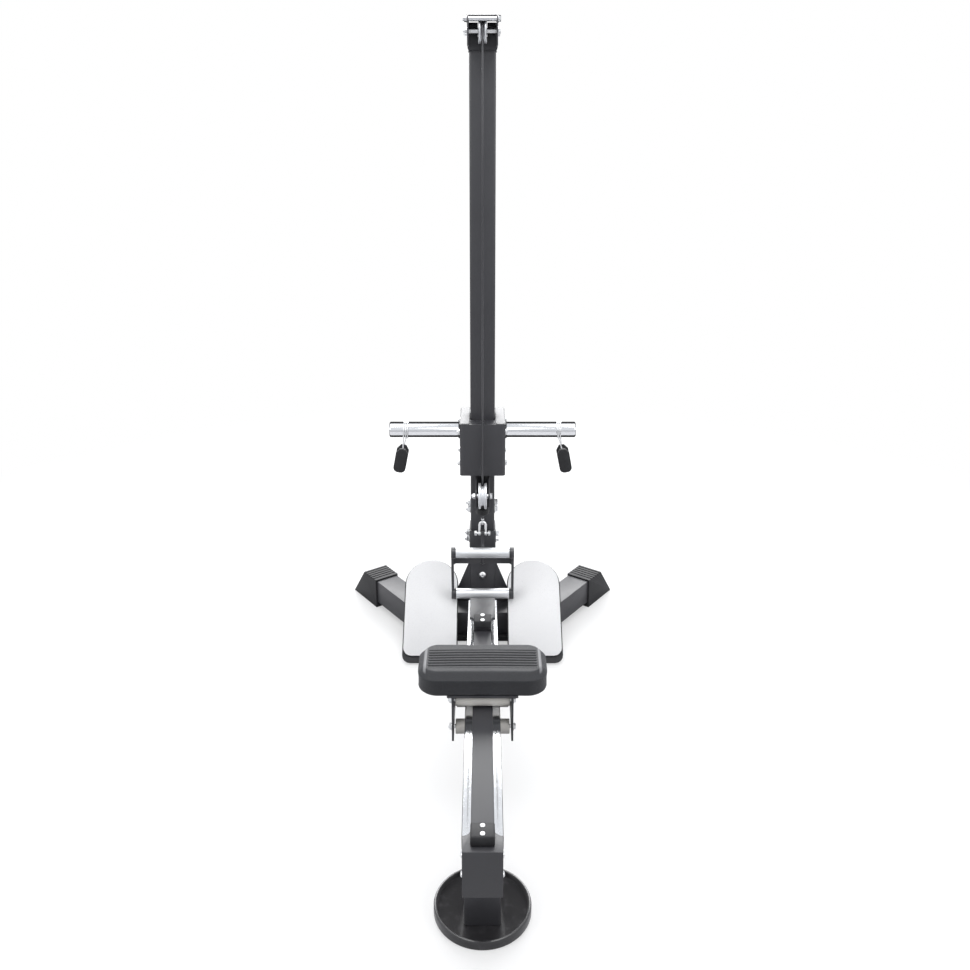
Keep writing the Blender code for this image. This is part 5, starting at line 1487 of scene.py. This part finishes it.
class ROWER_OT_finishes(Step, bpy.types.Operator):
    """Make the finishes and the node trees that the pieces use"""

    bl_idname = "rower.finishes"
    bl_label = "Finishes"

    def build(self, finishes, sizes):
        make_coat("coat", tuple(finishes.coat), finishes.coat_roughness)
        make_coat("gloss_coat", tuple(finishes.coat), 0.30, 0.6)
        make_chrome("chrome", tuple(finishes.chrome), 0.10)
        make_chrome("strip_chrome", tuple(finishes.chrome), 0.12, 0.0416)
        make_plated("zinc", tuple(finishes.zinc), 0.30)
        make_satin("silver", tuple(finishes.silver), 0.34)
        make_rubber("rubber", tuple(finishes.rubber), 0.62)
        make_vinyl("vinyl", tuple(finishes.vinyl), 0.44)
        make_grip_pad("white_pad", tuple(finishes.pad), 0.62)
        make_grip_pad("lid", shade(tuple(finishes.pad), 0.52), 0.62)
        make_nylon("nylon", tuple(finishes.nylon), 0.42)
        make_gloss("gloss_black", tuple(finishes.gloss), 0.28)
        make_cable_skin("cable_skin", (0.055, 0.055, 0.06), 0.36)
        TREES["copies"] = copies_tree()
        TREES["wire"] = wire_tree()


class ROWER_OT_base(Step, bpy.types.Operator):
    """Build the cross tube, its swept legs, boots and floor pad"""

    bl_idname = "rower.base"
    bl_label = "Base"

    def build(self, finishes, sizes):
        build_base(sizes.boot_edge)


class ROWER_OT_tower(Step, bpy.types.Operator):
    """Build the post, its socket, top bracket and bolts"""

    bl_idname = "rower.tower"
    bl_label = "Tower"

    def build(self, finishes, sizes):
        build_tower(sizes.socket_edge)


class ROWER_OT_pulleys(Step, bpy.types.Operator):
    """Build the three pulleys with their axle bolts and brackets"""

    bl_idname = "rower.pulleys"
    bl_label = "Pulleys"

    def build(self, finishes, sizes):
        build_pulleys()


class ROWER_OT_cables(Step, bpy.types.Operator):
    """Build the cables"""

    bl_idname = "rower.cables"
    bl_label = "Cables"

    def build(self, finishes, sizes):
        build_cables()


class ROWER_OT_trolley(Step, bpy.types.Operator):
    """Build the weight carriage, loading bars and guide rollers"""

    bl_idname = "rower.trolley"
    bl_label = "Weight carriage"

    def build(self, finishes, sizes):
        build_trolley()


class ROWER_OT_collars(Step, bpy.types.Operator):
    """Build the spring collars"""

    bl_idname = "rower.collars"
    bl_label = "Collars"

    def build(self, finishes, sizes):
        build_collars()


class ROWER_OT_handle(Step, bpy.types.Operator):
    """Build the handle, shackle, cable eye and bumper"""

    bl_idname = "rower.handle"
    bl_label = "Handle"

    def build(self, finishes, sizes):
        build_handle()


class ROWER_OT_rail(Step, bpy.types.Operator):
    """Build the rail, its strips, posts, brackets, stops and floor disc"""

    bl_idname = "rower.rail"
    bl_label = "Rail"

    def build(self, finishes, sizes):
        build_rail()


class ROWER_OT_feet(Step, bpy.types.Operator):
    """Build the foot plates and their pads"""

    bl_idname = "rower.feet"
    bl_label = "Foot plates"

    def build(self, finishes, sizes):
        build_feet()


class ROWER_OT_seat(Step, bpy.types.Operator):
    """Build the cushion, its carriage and rollers"""

    bl_idname = "rower.seat"
    bl_label = "Seat"

    def build(self, finishes, sizes):
        build_seat()


class ROWER_OT_stage(Step, bpy.types.Operator):
    """Set up the floor, lights, surround and camera"""

    bl_idname = "rower.stage"
    bl_label = "Stage"

    def build(self, finishes, sizes):
        build_world(sizes.world)
        build_floor(sizes.floor)
        area_light("back softbox", (0, 5.0, 3.6), (0, 0.0, 0.3), (6.0, 3.2), 430)
        area_light("top softbox", (0, -0.4, 4.2), (0, -0.1, 0.3), (3.2, 3.2), 95)
        area_light("left fill", (-3.2, -2.2, 2.4), (0, 0.2, 0.8), (2.4, 2.4), 45)
        area_light("right fill", (3.2, -2.2, 2.4), (0, 0.2, 0.8), (2.4, 2.4), 45)
        build_camera()
        bpy.context.scene.view_settings.view_transform = "Standard"


OPERATORS = (
    ROWER_OT_finishes,
    ROWER_OT_base,
    ROWER_OT_tower,
    ROWER_OT_pulleys,
    ROWER_OT_cables,
    ROWER_OT_trolley,
    ROWER_OT_collars,
    ROWER_OT_handle,
    ROWER_OT_rail,
    ROWER_OT_feet,
    ROWER_OT_seat,
    ROWER_OT_stage,
)


class ROWER_PT_panel(bpy.types.Panel):
    """The sidebar's list of sizes, colours and steps."""

    bl_idname = "ROWER_PT_panel"
    bl_label = "Row machine"
    bl_space_type = "VIEW_3D"
    bl_region_type = "UI"
    bl_category = "Row machine"

    def draw(self, context):
        layout = self.layout
        for group in (context.scene.rower_finishes, context.scene.rower_sizes):
            for name in group.__annotations__:
                layout.prop(group, name)
        for operator in OPERATORS:
            layout.operator(operator.bl_idname)


CLASSES = (ROWER_PG_finishes, ROWER_PG_sizes) + OPERATORS + (ROWER_PT_panel,)


def register():
    for item in CLASSES:
        bpy.utils.register_class(item)
    bpy.types.Scene.rower_finishes = PointerProperty(type=ROWER_PG_finishes)
    bpy.types.Scene.rower_sizes = PointerProperty(type=ROWER_PG_sizes)


def unregister():
    del bpy.types.Scene.rower_finishes
    del bpy.types.Scene.rower_sizes
    for item in reversed(CLASSES):
        bpy.utils.unregister_class(item)


def main():
    register()
    steps = bpy.ops.rower
    steps.finishes()
    steps.base()
    steps.tower()
    steps.pulleys()
    steps.cables()
    steps.trolley()
    steps.collars()
    steps.handle()
    steps.rail()
    steps.feet()
    steps.seat()
    steps.stage()


if __name__ == "__main__":
    main()
